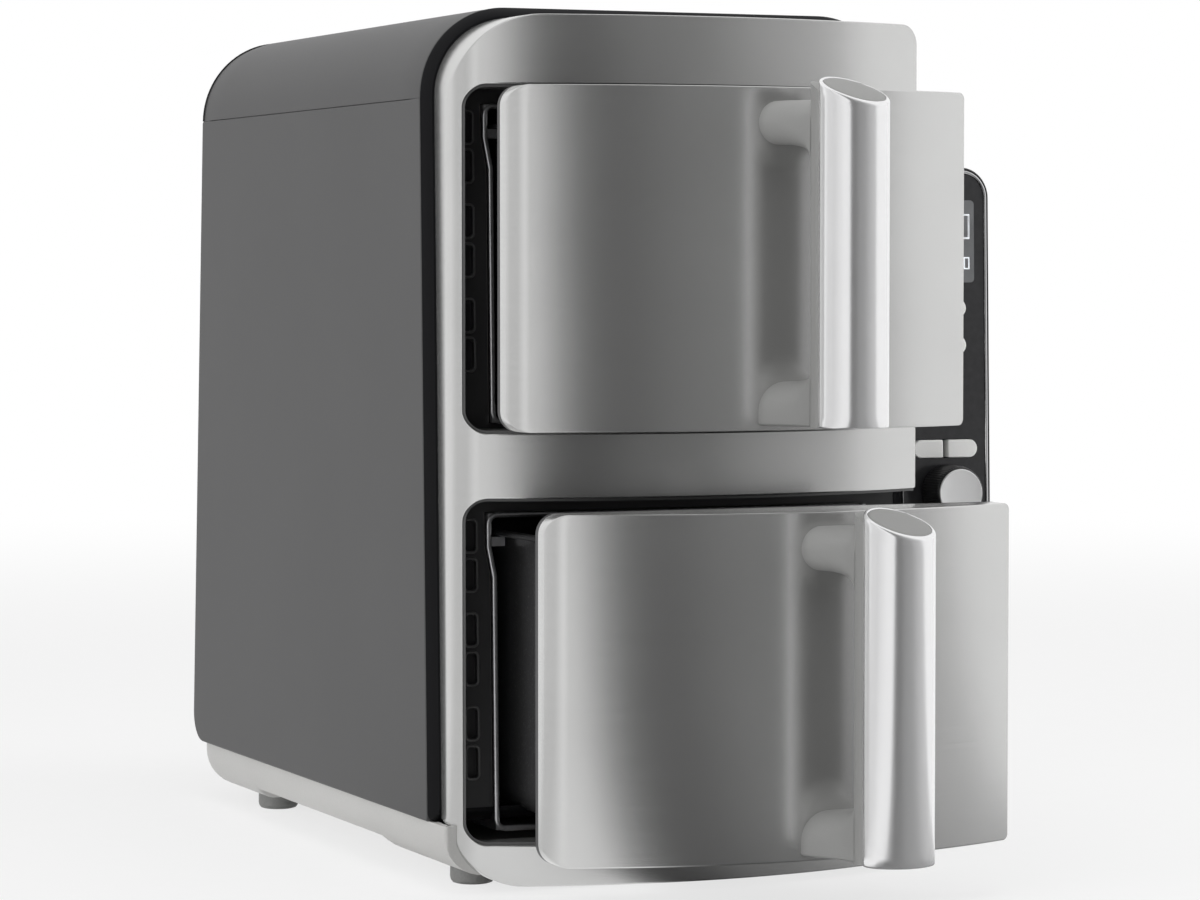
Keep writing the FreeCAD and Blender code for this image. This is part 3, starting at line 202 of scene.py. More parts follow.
def add_node(tree, kind, settings=None, sockets=None, output=0):
    """A node of that kind: its settings are made first, then its sockets set or linked; gives one output."""
    node = tree.nodes.new(kind)
    for name, value in (settings or {}).items():
        if name == "stops":
            ramp = node.color_ramp.elements
            for place, _ in value[2:]:
                ramp.new(place)
            for stop, (place, colour) in zip(ramp, value):
                stop.position = place
                stop.color = colour
        else:
            setattr(node, name, value)
    for name, value in (sockets or {}).items():
        if isinstance(value, Wire):
            tree.links.new(value.socket, node.inputs[name])
        else:
            node.inputs[name].default_value = value
    return Wire(tree, node.outputs[output])


class Finish:
    """A material: fixed values sit on its Principled shader's sockets, and detail comes from nodes."""

    def __init__(self, name, **fixed):
        self.material = bpy.data.materials.new(name)
        self.material.use_nodes = True
        self.tree = self.material.node_tree
        self.shader = self.tree.nodes["Principled BSDF"]
        for key, value in fixed.items():
            self.shader.inputs[key.replace("_", " ").title().replace("Ior", "IOR")].default_value = value

    def node(self, kind, settings=None, sockets=None, output=0):
        """Any node in this material."""
        return add_node(self.tree, kind, settings, sockets, output)

    def place(self, scale):
        """Object coordinates stretched by a scale for each axis."""
        coordinates = self.node("ShaderNodeTexCoord", output=3)
        return self.node("ShaderNodeMapping", None, {"Vector": coordinates, "Scale": scale})

    def noise(self, scale, detail=3.0):
        """Value noise over stretched Object coordinates, from 0 to 1; one number scales all three axes."""
        scale = scale if isinstance(scale, tuple) else (scale,) * 3
        return self.node("ShaderNodeTexNoise", None,
                         {"Vector": self.place(scale), "Scale": 1.0, "Detail": detail})

    def feed(self, socket, wire):
        """Links a wire to one of the shader's own sockets."""
        self.tree.links.new(wire.socket, self.shader.inputs[socket])

    def output(self):
        """The shader itself as a wire."""
        return Wire(self.tree, self.shader.outputs[0])

    def tint(self, colour, mask, spread):
        """Base colour that swings by a share of itself as the mask goes from 0 to 1."""
        dark = tuple(c * (1 - spread) for c in colour) + (1.0,)
        light = tuple(min(c * (1 + spread), 1.0) for c in colour) + (1.0,)
        ramp = self.node("ShaderNodeValToRGB", {"stops": ((0.3, dark), (0.7, light))}, {"Fac": mask})
        self.feed("Base Color", ramp)

    def relief(self, height, strength, distance=0.0002):
        """Bump from a height."""
        sockets = {"Height": height, "Strength": strength, "Distance": distance}
        self.feed("Normal", self.node("ShaderNodeBump", None, sockets))


def textured(name, colour, grain, rough, spread, relief=0.0, detail=3.0, clouds=None, **fixed):
    """A finish led by one grain, which swings its colour and roughness and raises its relief.

    Wider clouds, given as (scale, detail, share), may join in the colour. A colour may be the name of a
    colour setting, and rough is (swing, lowest)."""
    paint = Finish(name, **fixed)
    lead = mask = paint.noise(grain, detail)
    if clouds:
        scale, soft, share = clouds
        mask = lead * (1 - share) + paint.noise(scale, soft) * share
    if isinstance(colour, str):
        colour = getattr(colours(), colour)
    paint.tint(colour, mask, spread)
    paint.feed("Roughness", lead * rough[0] + rough[1])
    if relief:
        paint.relief(lead, relief)
    return paint


def moulding(name, colour, rough, grain=1800.0, spread=0.12, relief=0.08, sheen=0.5):
    """Moulded plastic with a fine spark-eroded grain."""
    return textured(name, colour, grain, (0.14, rough - 0.07), spread, relief, 2.0, (14.0, 3.0, 0.5),
                    specular_ior_level=sheen)


def polished(name, colour, rough, metallic=1.0):
    """Polished metal with faint wiping marks in its roughness."""
    return textured(name, colour, (90.0, 90.0, 40.0), (0.02, rough - 0.01), 0.01, metallic=metallic)


def nonstick():
    """Charcoal non-stick coat with pale flecks and an orange-peel relief."""
    paint = Finish("nonstick", coat_weight=0.15)
    flecks = paint.noise(1300.0, 2.0).math("GREATER_THAN", 0.66)
    peel = paint.noise(420.0)
    paint.tint(colours().pan, flecks * 0.6 + peel * 0.4, 0.5)
    paint.feed("Roughness", peel * 0.16 + 0.34)
    paint.relief(peel, 0.15, 0.0003)
    return paint


def spun_metal():
    """Dial cap turned on a lathe: fine rings about its own middle, by the distance from it."""
    paint = Finish("spun_metal", metallic=0.4)
    middle = (low("dial_cap") + high("dial_cap")) / 2
    coordinates = paint.node("ShaderNodeTexCoord", output=3)
    away = paint.node("ShaderNodeVectorMath", {"operation": "DISTANCE"},
                      {0: coordinates, 1: tuple(middle)}, output=1)
    rings_per_metre = 21000.0
    turned = (away * rings_per_metre).math("SINE")
    paint.tint((0.90, 0.90, 0.90), turned * 0.3 + 0.5, 0.03)
    paint.feed("Roughness", turned * 0.03 + 0.34)
    paint.relief(turned, 0.06, 0.00002)
    return paint


def lit_mark():
    """Lit digits and lamps: a pale glow that varies a little along each stroke."""
    paint = Finish("lit_mark", emission_strength=0.5)
    glow = paint.noise(400.0)
    stops = ((0.2, (0.75, 0.78, 0.8, 1)), (0.8, (0.95, 0.97, 1, 1)))
    paint.feed("Emission Color", paint.node("ShaderNodeValToRGB", {"stops": stops}, {"Fac": glow}))
    paint.tint((0.7, 0.72, 0.74), glow, 0.05)
    return paint


# Colour, roughness, and where they differ grain scale, spread, relief and sheen.
MOULDINGS = {
    "black_moulding": ((0.017, 0.017, 0.018), 0.34),
    "black_rim": ((0.008, 0.008, 0.009), 0.45, 1800.0, 0.12, 0.03, 0.12),
    # The bulkhead is the same black plastic as black_moulding, given a lighter colour: painted light in the
    # shade inside the openings.
    "bulkhead_moulding": ((0.040, 0.040, 0.041), 0.38),
    "rear_moulding": ((0.022, 0.022, 0.023), 0.50, 1100.0, 0.15, 0.2),
    "pale_base": ("base", 0.48, 1500.0, 0.06),
    "foot_rubber": ((0.34, 0.34, 0.335), 0.75, 900.0, 0.12, 0.2),
    "handle_grey": ("handle", 0.48, 2200.0, 0.05),
    "handle_cap_grey": ("cap", 0.45, 2200.0, 0.04, 0.04),
    "white_key": ("key", 0.35, 1800.0, 0.03, 0.03),
    # Pocket rims and opening trims: a grey lighter than the black bulkhead they sit in. The lighter grey is
    # partly painted highlight for their lit edges; their gloss gives real highlights too.
    "opening_lip": ((0.10, 0.10, 0.10), 0.36, 1800.0, 0.08, 0.04),
}
# Colour, roughness, and where it differs the metallic share.
POLISHED = {
    "chrome": ((0.80, 0.80, 0.81), 0.10),
    "bright_sleeve": ((0.86, 0.86, 0.865), 0.13, 0.70),
    "steel_fastener": ((0.55, 0.55, 0.56), 0.25),
    "motor_metal": ((0.35, 0.35, 0.36), 0.35),
    "fan_metal": ((0.60, 0.60, 0.60), 0.30),
}
# Brushed metal, painted sheet, rolled sheet, coated panel, smoked window and lacquered board.
TEXTURED = {
    "satin_front": dict(colour="front", grain=(30.0, 30.0, 5200.0), rough=(0.08, 0.18), spread=0.05,
                        relief=0.04, detail=2.0, clouds=(18.0, 2.0, 0.5), metallic=0.86),
    "grained_panel": dict(colour="panel", grain=2600.0, rough=(0.12, 0.44), spread=0.10, relief=0.10,
                          detail=2.0, clouds=(9.0, 3.0, 0.45), specular_ior_level=0.4),
    "rolled_steel": dict(colour=(0.60, 0.60, 0.61), grain=(420.0, 9.0, 420.0), rough=(0.08, 0.30),
                         spread=0.05, relief=0.02, detail=1.0, metallic=1.0),
    "gloss_panel": dict(colour=(0.030, 0.030, 0.032), grain=300.0, rough=(0.08, 0.16), spread=0.12,
                        coat_weight=0.6, coat_roughness=0.04),
    "display_glass": dict(colour=(0.19, 0.195, 0.20), grain=80.0, rough=(0.06, 0.12), spread=0.10,
                          coat_weight=0.7, coat_roughness=0.03),
    "circuit_board": dict(colour=(0.02, 0.11, 0.05), grain=(500.0, 20.0, 160.0), rough=(0.1, 0.3), spread=0.4,
                          coat_weight=0.4),
}
SPECIAL = {"nonstick": nonstick, "spun_metal": spun_metal, "lit_mark": lit_mark}
FINISHES = {}


def finish(name):
    """The material of that name, made the first time it is asked for."""
    if name not in FINISHES:
        if name in MOULDINGS:
            made = moulding(name, *MOULDINGS[name])
        elif name in POLISHED:
            made = polished(name, *POLISHED[name])
        elif name in TEXTURED:
            made = textured(name, **TEXTURED[name])
        else:
            made = SPECIAL[name]()
        FINISHES[name] = made.material
    return FINISHES[name]


def quads(rows, columns, closed):
    """Corner numbers of a grid's cells; a closed grid joins its last column to its first."""
    r = np.arange(rows - 1)[:, None] * columns
    c = np.arange(columns if closed else columns - 1)[None, :]
    after = (c + 1) % columns
    cells = np.stack([r + c, r + after, r + columns + after, r + columns + c], axis=-1)
    return cells.reshape(-1, 4)


def add_piece(name, grids, body, material, stands_for=(), sharp=38.0):
    """One object from grids of points, each given as (rows x columns x 3 array, closed or not).

    Doubles are merged so that seams and poles close, faces are turned outwards, and edges sharper than an
    angle stay sharp."""
    points = []
    cells = []
    count = 0
    for grid, closed in grids:
        rows, columns = grid.shape[:2]
        points.append(grid.reshape(-1, 3))
        cells.append(quads(rows, columns, closed) + count)
        count += rows * columns
    mesh = bpy.data.meshes.new(name)
    mesh.from_pydata(np.concatenate(points).tolist(), [], np.concatenate(cells).tolist())
    work = bmesh.new()
    work.from_mesh(mesh)
    bmesh.ops.remove_doubles(work, verts=work.verts, dist=2e-6)
    bmesh.ops.dissolve_degenerate(work, edges=work.edges, dist=1e-7)
    bmesh.ops.recalc_face_normals(work, faces=work.faces)
    work.to_mesh(mesh)
    work.free()
    mesh.polygons.foreach_set("use_smooth", np.ones(len(mesh.polygons), dtype=bool))
    mesh.set_sharp_from_angle(angle=math.radians(sharp))
    mesh.materials.append(finish(material))
    piece = bpy.data.objects.new(name, mesh)
    bpy.context.scene.collection.objects.link(piece)
    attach(piece, body)
    if stands_for:
        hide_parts(*stands_for)


def outline(corners, spacing=0.004, steps=8):
    """Points and outward normals round a closed outline of (a, b, radius) corners, turning to the left.

    Each corner is an arc that touches its two sides, and the straight runs between are divided evenly."""
    sites = np.array([corner[:2] for corner in corners], dtype=float)
    radii = np.array([corner[2] for corner in corners], dtype=float)
    back = np.roll(sites, 1, axis=0) - sites
    ahead = np.roll(sites, -1, axis=0) - sites
    back /= np.linalg.norm(back, axis=1)[:, None]
    ahead /= np.linalg.norm(ahead, axis=1)[:, None]
    half = np.arccos(np.clip((back * ahead).sum(axis=1), -1, 1)) / 2
    turn = np.sign(-back[:, 0] * ahead[:, 1] + back[:, 1] * ahead[:, 0])
    bisector = back + ahead
    bisector /= np.linalg.norm(bisector, axis=1)[:, None]
    centres = sites + bisector * (radii / np.sin(half))[:, None]
    points = []
    normals = []
    for number in range(len(corners)):
        t = np.linspace(0, 1, steps + 1)[:, None]
        first = np.array([-back[number, 1], back[number, 0]])
        last = np.array([ahead[number, 1], -ahead[number, 0]])
        sweep = (math.pi - 2 * half[number]) * turn[number]
        angle = math.atan2(first[1], first[0]) + sweep * t
        normal = np.hstack([np.cos(angle), np.sin(angle)])
        arc = centres[number] + normal * radii[number] * turn[number]
        points.append(arc)
        normals.append(normal)
        following = (number + 1) % len(corners)
        begin = arc[-1]
        end = sites[following] + back[following] * radii[following] / math.tan(half[following])
        pieces = max(int(np.linalg.norm(end - begin) / spacing), 1)
        t = np.linspace(0, 1, pieces + 1)[1:-1, None]
        points.append(begin + (end - begin) * t)
        normals.append(np.repeat(last[None, :], len(t), axis=0))
    return np.concatenate(points), np.concatenate(normals)


def rounding(radius, steps=5):
    """Rows of (inset, depth) over a quarter-round edge: inset r(1 - sin t), depth r(1 - cos t)."""
    t = np.linspace(0, QUARTER_TURN, steps + 1)
    return list(zip(radius * (1 - np.sin(t)), radius * (1 - np.cos(t))))


def rings(points, normals, rows, place):
    """A grid whose row k is the outline drawn in by inset k and set at depth k."""
    return np.stack([place(points - normals * inset, depth) for inset, depth in rows])


def to_centre(points, count=6):
    """Outlines that shrink to their middle, for a flat cap."""
    middle = (points.min(axis=0) + points.max(axis=0)) / 2
    return [middle + (points - middle) * share for share in np.linspace(1, 0, count)]


def band(corners, spacing, steps, rows, place):
    """A closed grid of rings round an outline."""
    return rings(*outline(corners, spacing, steps), rows, place), True


def solid(corners, spacing, steps, rows, place, count=6, margin=0.0004):
    """A band closed at both ends: past a narrow flat margin the end rows shrink to their middles."""
    points, normals = outline(corners, spacing, steps)
    start, end = [np.stack([place(p, depth) for p in to_centre(points - normals * (inset + margin), count)])
                  for inset, depth in (rows[0], rows[-1])]
    return np.concatenate([start[::-1], rings(points, normals, rows, place), end]), True


def xy(points, height):
    """Plan points at one height."""
    return np.stack([points[:, 0], points[:, 1], np.full(len(points), height)], axis=-1)


def yz(points, across):
    """Side-view points at one x."""
    return np.stack([np.full(len(points), across), points[:, 0], points[:, 1]], axis=-1)


def rectangle(a0, a1, b0, b1, radius):
    """Four corners with one radius."""
    return [(a0, b0, radius), (a1, b0, radius), (a1, b1, radius), (a0, b1, radius)]


class BowPath:
    """Plan curve of a bowed front: a corner arc at the left, tangent to the bow's large arc."""

    def __init__(self, left, apex, corner):
        self.radius = sizes().bow
        self.centre = apex + self.radius
        self.corner = corner
        self.corner_x = left + corner
        reach = math.sqrt((self.radius - corner) ** 2 - (self.corner_x - MIDDLE) ** 2)
        self.corner_y = self.centre - reach
        self.start = math.atan2(self.corner_x - MIDDLE, reach)
        self.turn = QUARTER_TURN + self.start
        self.bend = corner * self.turn

    def depth(self, x):
        """y on the front at x: the corner's circle near the left, the bow's circle elsewhere."""
        bow = self.centre - np.sqrt(self.radius ** 2 - (x - MIDDLE) ** 2)
        inside = np.clip(self.corner ** 2 - (x - self.corner_x) ** 2, 0, None)
        edge = MIDDLE + self.radius * math.sin(self.start)
        return np.where(x < edge, self.corner_y - np.sqrt(inside), bow)

    def length(self, x):
        """Arc length from the left end to x."""
        bow = self.bend + self.radius * (np.arcsin((x - MIDDLE) / self.radius) - self.start)
        angle = np.arccos(np.clip((self.corner_x - x) / self.corner, -1, 1))
        return np.where(angle < self.turn, self.corner * angle, bow)

    def across(self, s):
        """x at an arc length."""
        bow = MIDDLE + self.radius * np.sin(self.start + (s - self.bend) / self.radius)
        return np.where(s < self.bend, self.corner_x - self.corner * np.cos(s / self.corner), bow)

    def face(self, z, left, right, columns):
        """A grid on the front: row k runs at height z[k] from left[k] to right[k], even in arc length."""
        a = self.length(left)[:, None]
        b = self.length(right)[:, None]
        x = self.across(a + (b - a) * np.linspace(0, 1, columns)[None, :])
        return np.stack([x, self.depth(x), np.broadcast_to(z[:, None], x.shape)], axis=-1)

    def at(self, points, depth):
        """Front-view points on the front, set back by a depth."""
        return np.stack([points[:, 0], self.depth(points[:, 0]) + depth, points[:, 1]], axis=-1)


def pull(distance, radius):
    """How far a corner arc stands in from its side at a distance from the end: r - sqrt(r^2 - (r - d)^2)."""
    inside = np.clip(radius - distance, 0, radius)
    return radius - np.sqrt(radius ** 2 - inside ** 2)


def drawn_in(z, bottom, top, below, above):
    """How far a face's end stands in at height z, by its corner radii below and above."""
    return pull(top - z, above) + pull(z - bottom, below)


def heights(start, end, corner, count):
    """Heights from start to end, closer together within a corner of each end."""
    t = 0.5 - 0.5 * np.cos(np.linspace(0, math.pi, 14))
    ends = np.concatenate([start + corner * t / 2, np.linspace(start, end, count), end - corner * t / 2])
    return np.unique(np.clip(ends, start, end))


class FRYER_OT_front_frame(bpy.types.Operator):
    """Bowed satin frame with two openings that run out of its right end"""

    bl_idname = "fryer.front_frame"
    bl_label = "Front frame"

    def execute(self, context):
        edge = sizes().edge
        first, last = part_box("front_frame")
        left, right, bottom, top = first.x, last.x, first.z, last.z
        path = BowPath(left, first.y, sizes().frame_corner)
        upper, lower = opening("upper"), opening("lower")
        inner = left + 0.004
        shoulder, toe, end, nook, run = 0.035, 0.028, 0.009, 0.010, 0.0012
        foot_depth = BACKWARD - 0.002

        def near(z):
            return left + edge + drawn_in(z, bottom + edge, top - edge, toe - edge, shoulder - edge)

        def far(z):
            return right - edge - drawn_in(z, bottom + edge, top - edge, end - edge, end - edge)

        def beside(z, gap):
            grown = nook + edge
            return inner - edge + drawn_in(z, gap[1] - edge, gap[0] + edge, grown, grown)

        grids = []
        for z0, z1 in ((bottom, lower[1]), (lower[0], upper[1]), (upper[0], top)):
            z = heights(z0 + edge, z1 - edge, 0.03, 24)
            grids.append((path.face(z, near(z), far(z), 280), False))
        for gap in (lower, upper):
            z = heights(gap[1] - edge, gap[0] + edge, nook * 2, 60)
            grids.append((path.face(z, near(z), beside(z, gap), 36), False))
        corners = [(left, bottom, toe), (right, bottom, end)]
        for gap in (lower, upper):
            corners += [(right, gap[1], run), (inner, gap[1], nook), (inner, gap[0], nook),
                        (right, gap[0], run)]
        corners += [(right, top, end), (left, top, shoulder)]
        points, normals = outline(corners, 0.001, 16)
        wall = rings(points, normals, rounding(edge), path.at)
        rear = wall[-1].copy()
        rear[:, 1] = np.where(rear[:, 2] < PANEL_LOW, foot_depth, front_line(rear[:, 2]))
        rear[:, 1] = np.maximum(rear[:, 1], wall[-1][:, 1])
        grids.append((np.concatenate([wall, rear[None]]), True))
        add_piece("front_frame_skin", grids, "housing", "satin_front", ("front_frame",))
        return {"FINISHED"}


class FRYER_OT_drawer_fronts(bpy.types.Operator):
    """Bowed satin drawer fronts with rounded edges"""

    bl_idname = "fryer.drawer_fronts"
    bl_label = "Drawer fronts"

    def execute(self, context):
        edge = sizes().edge
        turned, plain, fold = 0.009, 0.003, 0.0025
        for storey in STOREYS:
            node = storey + "_drawer_front"
            first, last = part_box(node)
            path = BowPath(first.x, first.y, sizes().drawer_turn)
            z = heights(first.z + edge, last.z - edge, 0.02, 60)
            left, right = [drawn_in(z, first.z + edge, last.z - edge, r - edge, r - edge)
                           for r in (turned, plain)]
            face = path.face(z, first.x + edge + left, last.x - edge - right, 200)
            corners = [(first.x, first.z, turned), (last.x, first.z, plain),
                       (last.x, last.z, plain), (first.x, last.z, turned)]
            points, normals = outline(corners, 0.001, 12)
            wall = rings(points, normals, rounding(edge), path.at)
            rear = wall[-1].copy()
            rear[:, 1] = last.y
            inner = rear.copy()
            inner[:, (0, 2)] -= normals * fold
            grids = [(face, False), (np.concatenate([wall, rear[None], inner[None]]), True)]
            add_piece(node + "_skin", grids, storey + "_drawer", "satin_front", (node,))
        return {"FINISHED"}


def handle_oval(inset, count=120):
    """Plan points of the handle's oval about its middle: four arcs, two small at the sides and two wide."""
    a, b, r = HANDLE_WIDE - inset, HANDLE_DEEP - inset, HANDLE_SIDE - inset
    wide = (a * a + b * b - 2 * a * r) / (2 * (b - r))
    meet = math.atan2(wide - b, a - r)
    t = np.linspace(0, FULL_TURN, count, endpoint=False)
    quarter = np.abs(((t + QUARTER_TURN) % math.pi) - QUARTER_TURN)
    share = quarter / QUARTER_TURN
    split = 0.45
    small = share < split
    angle = np.where(small, share / split * meet,
                     meet + (share - split) / (1 - split) * (QUARTER_TURN - meet))
    x = np.where(small, a - r + r * np.cos(angle), wide * np.cos(angle))
    y = np.where(small, r * np.sin(angle), b - wide + wide * np.sin(angle))
    return np.stack([x * np.sign(np.cos(t) + 1e-9), y * np.sign(np.sin(t) + 1e-9)], axis=-1)


class FRYER_OT_handles(bpy.types.Operator):
    """Upright oval handles: polished sleeve with an oblique top, matt cap, back strip and flared posts"""

    bl_idname = "fryer.handles"
    bl_label = "Handles"

    def execute(self, context):
        for storey in STOREYS:
            first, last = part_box(storey + "_handle_shell")
            x0 = (first.x + last.x) / 2
            y0 = first.y + HANDLE_DEEP
            self.sleeve(storey, x0, y0, first.z)
            self.back_strip(storey, x0, y0, first.z)
        return {"FINISHED"}

    def sleeve(self, storey, x0, y0, foot):
        """Sleeve and cap: rows of the oval, level at the foot and on the plane z = top + a x + b y above."""
        lift, edge = 0.0008, 0.0013

        def slope(plan):
            return foot + HANDLE_TALL + TOP_RISE[0] * plan[:, 0] + TOP_RISE[1] * plan[:, 1]

        def at(plan, z):
            return np.stack([plan[:, 0] + x0, plan[:, 1] + y0, np.broadcast_to(z, len(plan))], axis=-1)

        def oblique(rows):
            plans = [(handle_oval(inset), drop) for inset, drop in rows]
            return [at(plan, slope(plan) - drop) for plan, drop in plans]

        base = ((0.008, 0.0), (0.004, 0.0), (0.0008, 0.0), (0.0004, 0.0001), (0.0001, 0.0004))
        seat = ((0.0015, 0.0), (0.0016, 0.0005), (0.004, 0.0006), (0.008, 0.0006))
        cap = ((0.0018, 0.0008), (0.0018, 0.0002), (0.0021, 0.0), (0.003, -0.00005), (0.006, -0.0002),
               (0.0085, -0.0002))
        oval = handle_oval(0.0)
        rows = [at(handle_oval(inset), foot + rise) for inset, rise in base]
        rows += [at(oval, foot + lift + (slope(oval) - edge - lift - foot) * share)
                 for share in np.linspace(0, 1, 40)]
        rows += oblique(rounding(edge)[::-1][1:]) + oblique(seat)
        add_piece(storey + "_handle_sleeve", [(np.stack(rows), True)], storey + "_drawer",
                  "bright_sleeve", (storey + "_handle_shell",), 60.0)
        lid = np.stack(oblique(cap))
        pole = np.broadcast_to(lid[-1].mean(axis=0), lid[-1].shape)
        add_piece(storey + "_handle_lid", [(np.concatenate([lid, pole[None]]), True)], storey + "_drawer",
                  "handle_cap_grey", (storey + "_handle_cap",))

    def back_strip(self, storey, x0, y0, foot):
        """Back strip as an upright rounded bar, and two posts whose sections widen towards the drawer.

        A post's section at share t is a rounded rectangle: half width 14.5 to 25 mm by a smooth step, half
        height growing towards the other post, near the strip, as the cube of the distance left."""
        slim, spread, half, flare_most = 0.0145, 0.0105, 0.00925, 0.013
        upper_post, sunk = 0.119, 0.0006
        corners = rectangle(x0 - slim, x0 + slim, y0 + 0.004, y0 + 0.015, 0.004)
        reach = HANDLE_TALL - 0.0085
        bar, _ = solid(corners, 0.003, 10, [(0.0, foot), (0.0, foot + reach)], xy, 4)
        rise = TOP_RISE[1] * (bar[..., 1] - y0) + TOP_RISE[0] * (bar[..., 0] - x0) + 0.0035
        bar[..., 2] += np.where(bar[..., 2] > foot + reach - 1e-6, rise, 0.0)
        grids = [(bar, True)]
        skin = low(storey + "_drawer_front")
        path = BowPath(skin.x, skin.y, sizes().drawer_turn)
        start = y0 + HANDLE_DEEP
        for z, flat in ((foot + half, True), (foot + upper_post + half, False)):
            under, over = (0.0012, 0.0125) if flat else (0.0091, 0.0091)
            rows = []
            for t in np.linspace(0, 1, 28):
                ease = t * t * (3 - 2 * t)
                wide = slim + spread * ease ** 1.6
                flare = flare_most * (1 - t) ** 3
                above = half + flare if flat else half
                below = half if flat else half + flare
                section = [(x0 - wide, z - below, under), (x0 + wide, z - below, under),
                           (x0 + wide, z + above, over), (x0 - wide, z + above, over)]
                ring, _ = outline(section)
                if t == 0:
                    count = len(ring)
                turn = np.linspace(0, len(ring), count, endpoint=False)
                loop = np.vstack([ring, ring[:1]])
                x, height = [np.interp(turn, np.arange(len(loop)), loop[:, k]) for k in (0, 1)]
                rows.append(np.stack([x, start + (path.depth(x) + sunk - start) * t, height], axis=-1))
            grids.append((np.stack(rows), True))
        add_piece(storey + "_handle_back", grids, storey + "_drawer", "handle_grey",
                  (storey + "_handle_backing",), 50.0)


class FRYER_OT_baskets(bpy.types.Operator):
    """Non-stick baskets with a turned-out rim and a round between floor and walls"""

    bl_idname = "fryer.baskets"
    bl_label = "Baskets"

    def execute(self, context):
        wall, rim, sheet, curve, corner = 0.0015, 0.006, 0.002, sizes().basket_round, 0.024
        inside = curve - wall
        t = np.linspace(0, QUARTER_TURN, 9)
        for storey in STOREYS:
            node = storey + "_basket"
            first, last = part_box(node)
            corners = rectangle(first.x + rim, last.x - rim, first.y + rim, last.y - rim, corner)
            outer, inner = [[(thick + r * (1 - math.cos(a)), first.z + thick + r * (1 - math.sin(a)))
                             for a in t] for thick, r in ((0.0, curve), (wall, inside))]
            rows = outer[::-1]
            rows += [(0.0, z) for z in np.linspace(first.z + curve, last.z - sheet, 12)[1:]]
            rows += [(-rim + 0.0006, last.z - sheet), (-rim, last.z - sheet * 0.7),
                     (-rim, last.z - sheet * 0.3), (-rim + 0.0006, last.z),
                     (wall - 0.001, last.z), (wall - 0.0003, last.z - 0.0003)]
            rows += [(wall, z) for z in np.linspace(last.z - 0.001, first.z + wall + inside, 12)]
            rows += inner[1:]
            add_piece(storey + "_basket_pan", [solid(corners, 0.006, 14, rows, xy, 8)], storey + "_drawer",
                      "nonstick", (node,))
        return {"FINISHED"}


class FRYER_OT_mouths(bpy.types.Operator):
    """Rolled bright edge round each cavity's mouth, and a thin raised rim round each pocket beside it"""

    bl_idname = "fryer.mouths"
    bl_label = "Cavity edges and pockets"

    def execute(self, context):
        sheet, jog, round_end, round_jog = 0.0006, 0.0025, 0.004, 0.003
        half_wide, half_tall = 0.003, 0.00725
        pocket_drops = (0.0175, 0.0345, 0.0585, 0.0755, 0.0995, 0.1165)
        for storey in STOREYS:
            first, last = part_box(storey + "_cavity")
            top, bottom = opening(storey)
            x0, x1 = first.x + sheet, last.x - sheet
            z0, z1 = first.z + sheet, last.z - sheet
            turn = (bottom + 0.1145, bottom + 0.1275)
            corners = [(x0 + jog, z0, round_end), (x1 - jog, z0, round_end), (x1 - jog, turn[0], round_jog),
                       (x1, turn[1], round_jog), (x1, z1, round_end), (x0, z1, round_end),
                       (x0, turn[1], round_jog), (x0 + jog, turn[0], round_jog)]
            bead = self.tube(corners, 0.0013, 0.0008, -0.0026)
            add_piece(storey + "_cavity_bead", [bead], "housing", "rolled_steel", (), 80.0)
            x = first.x - 0.007
            rims = [self.tube(rectangle(x - half_wide, x + half_wide, top - drop - half_tall,
                                        top - drop + half_tall, 0.002), 0.0006, 0.0006, 0.0)
                    for drop in pocket_drops]
            # The rims' lighter grey is partly painted highlight on the pocket edges.
            add_piece(storey + "_pocket_rims", rims, "housing", "opening_lip", (), 80.0)
        return {"FINISHED"}

    def tube(self, corners, wide, thick, depth):
        """An oval tube along a front-view outline: row k lies at inset w cos a and depth t sin a."""
        angle = np.linspace(0, FULL_TURN, 13)
        rows = list(zip(wide * np.cos(angle), depth + thick * np.sin(angle)))
        return band(corners, 0.004, 6, rows, leaning)


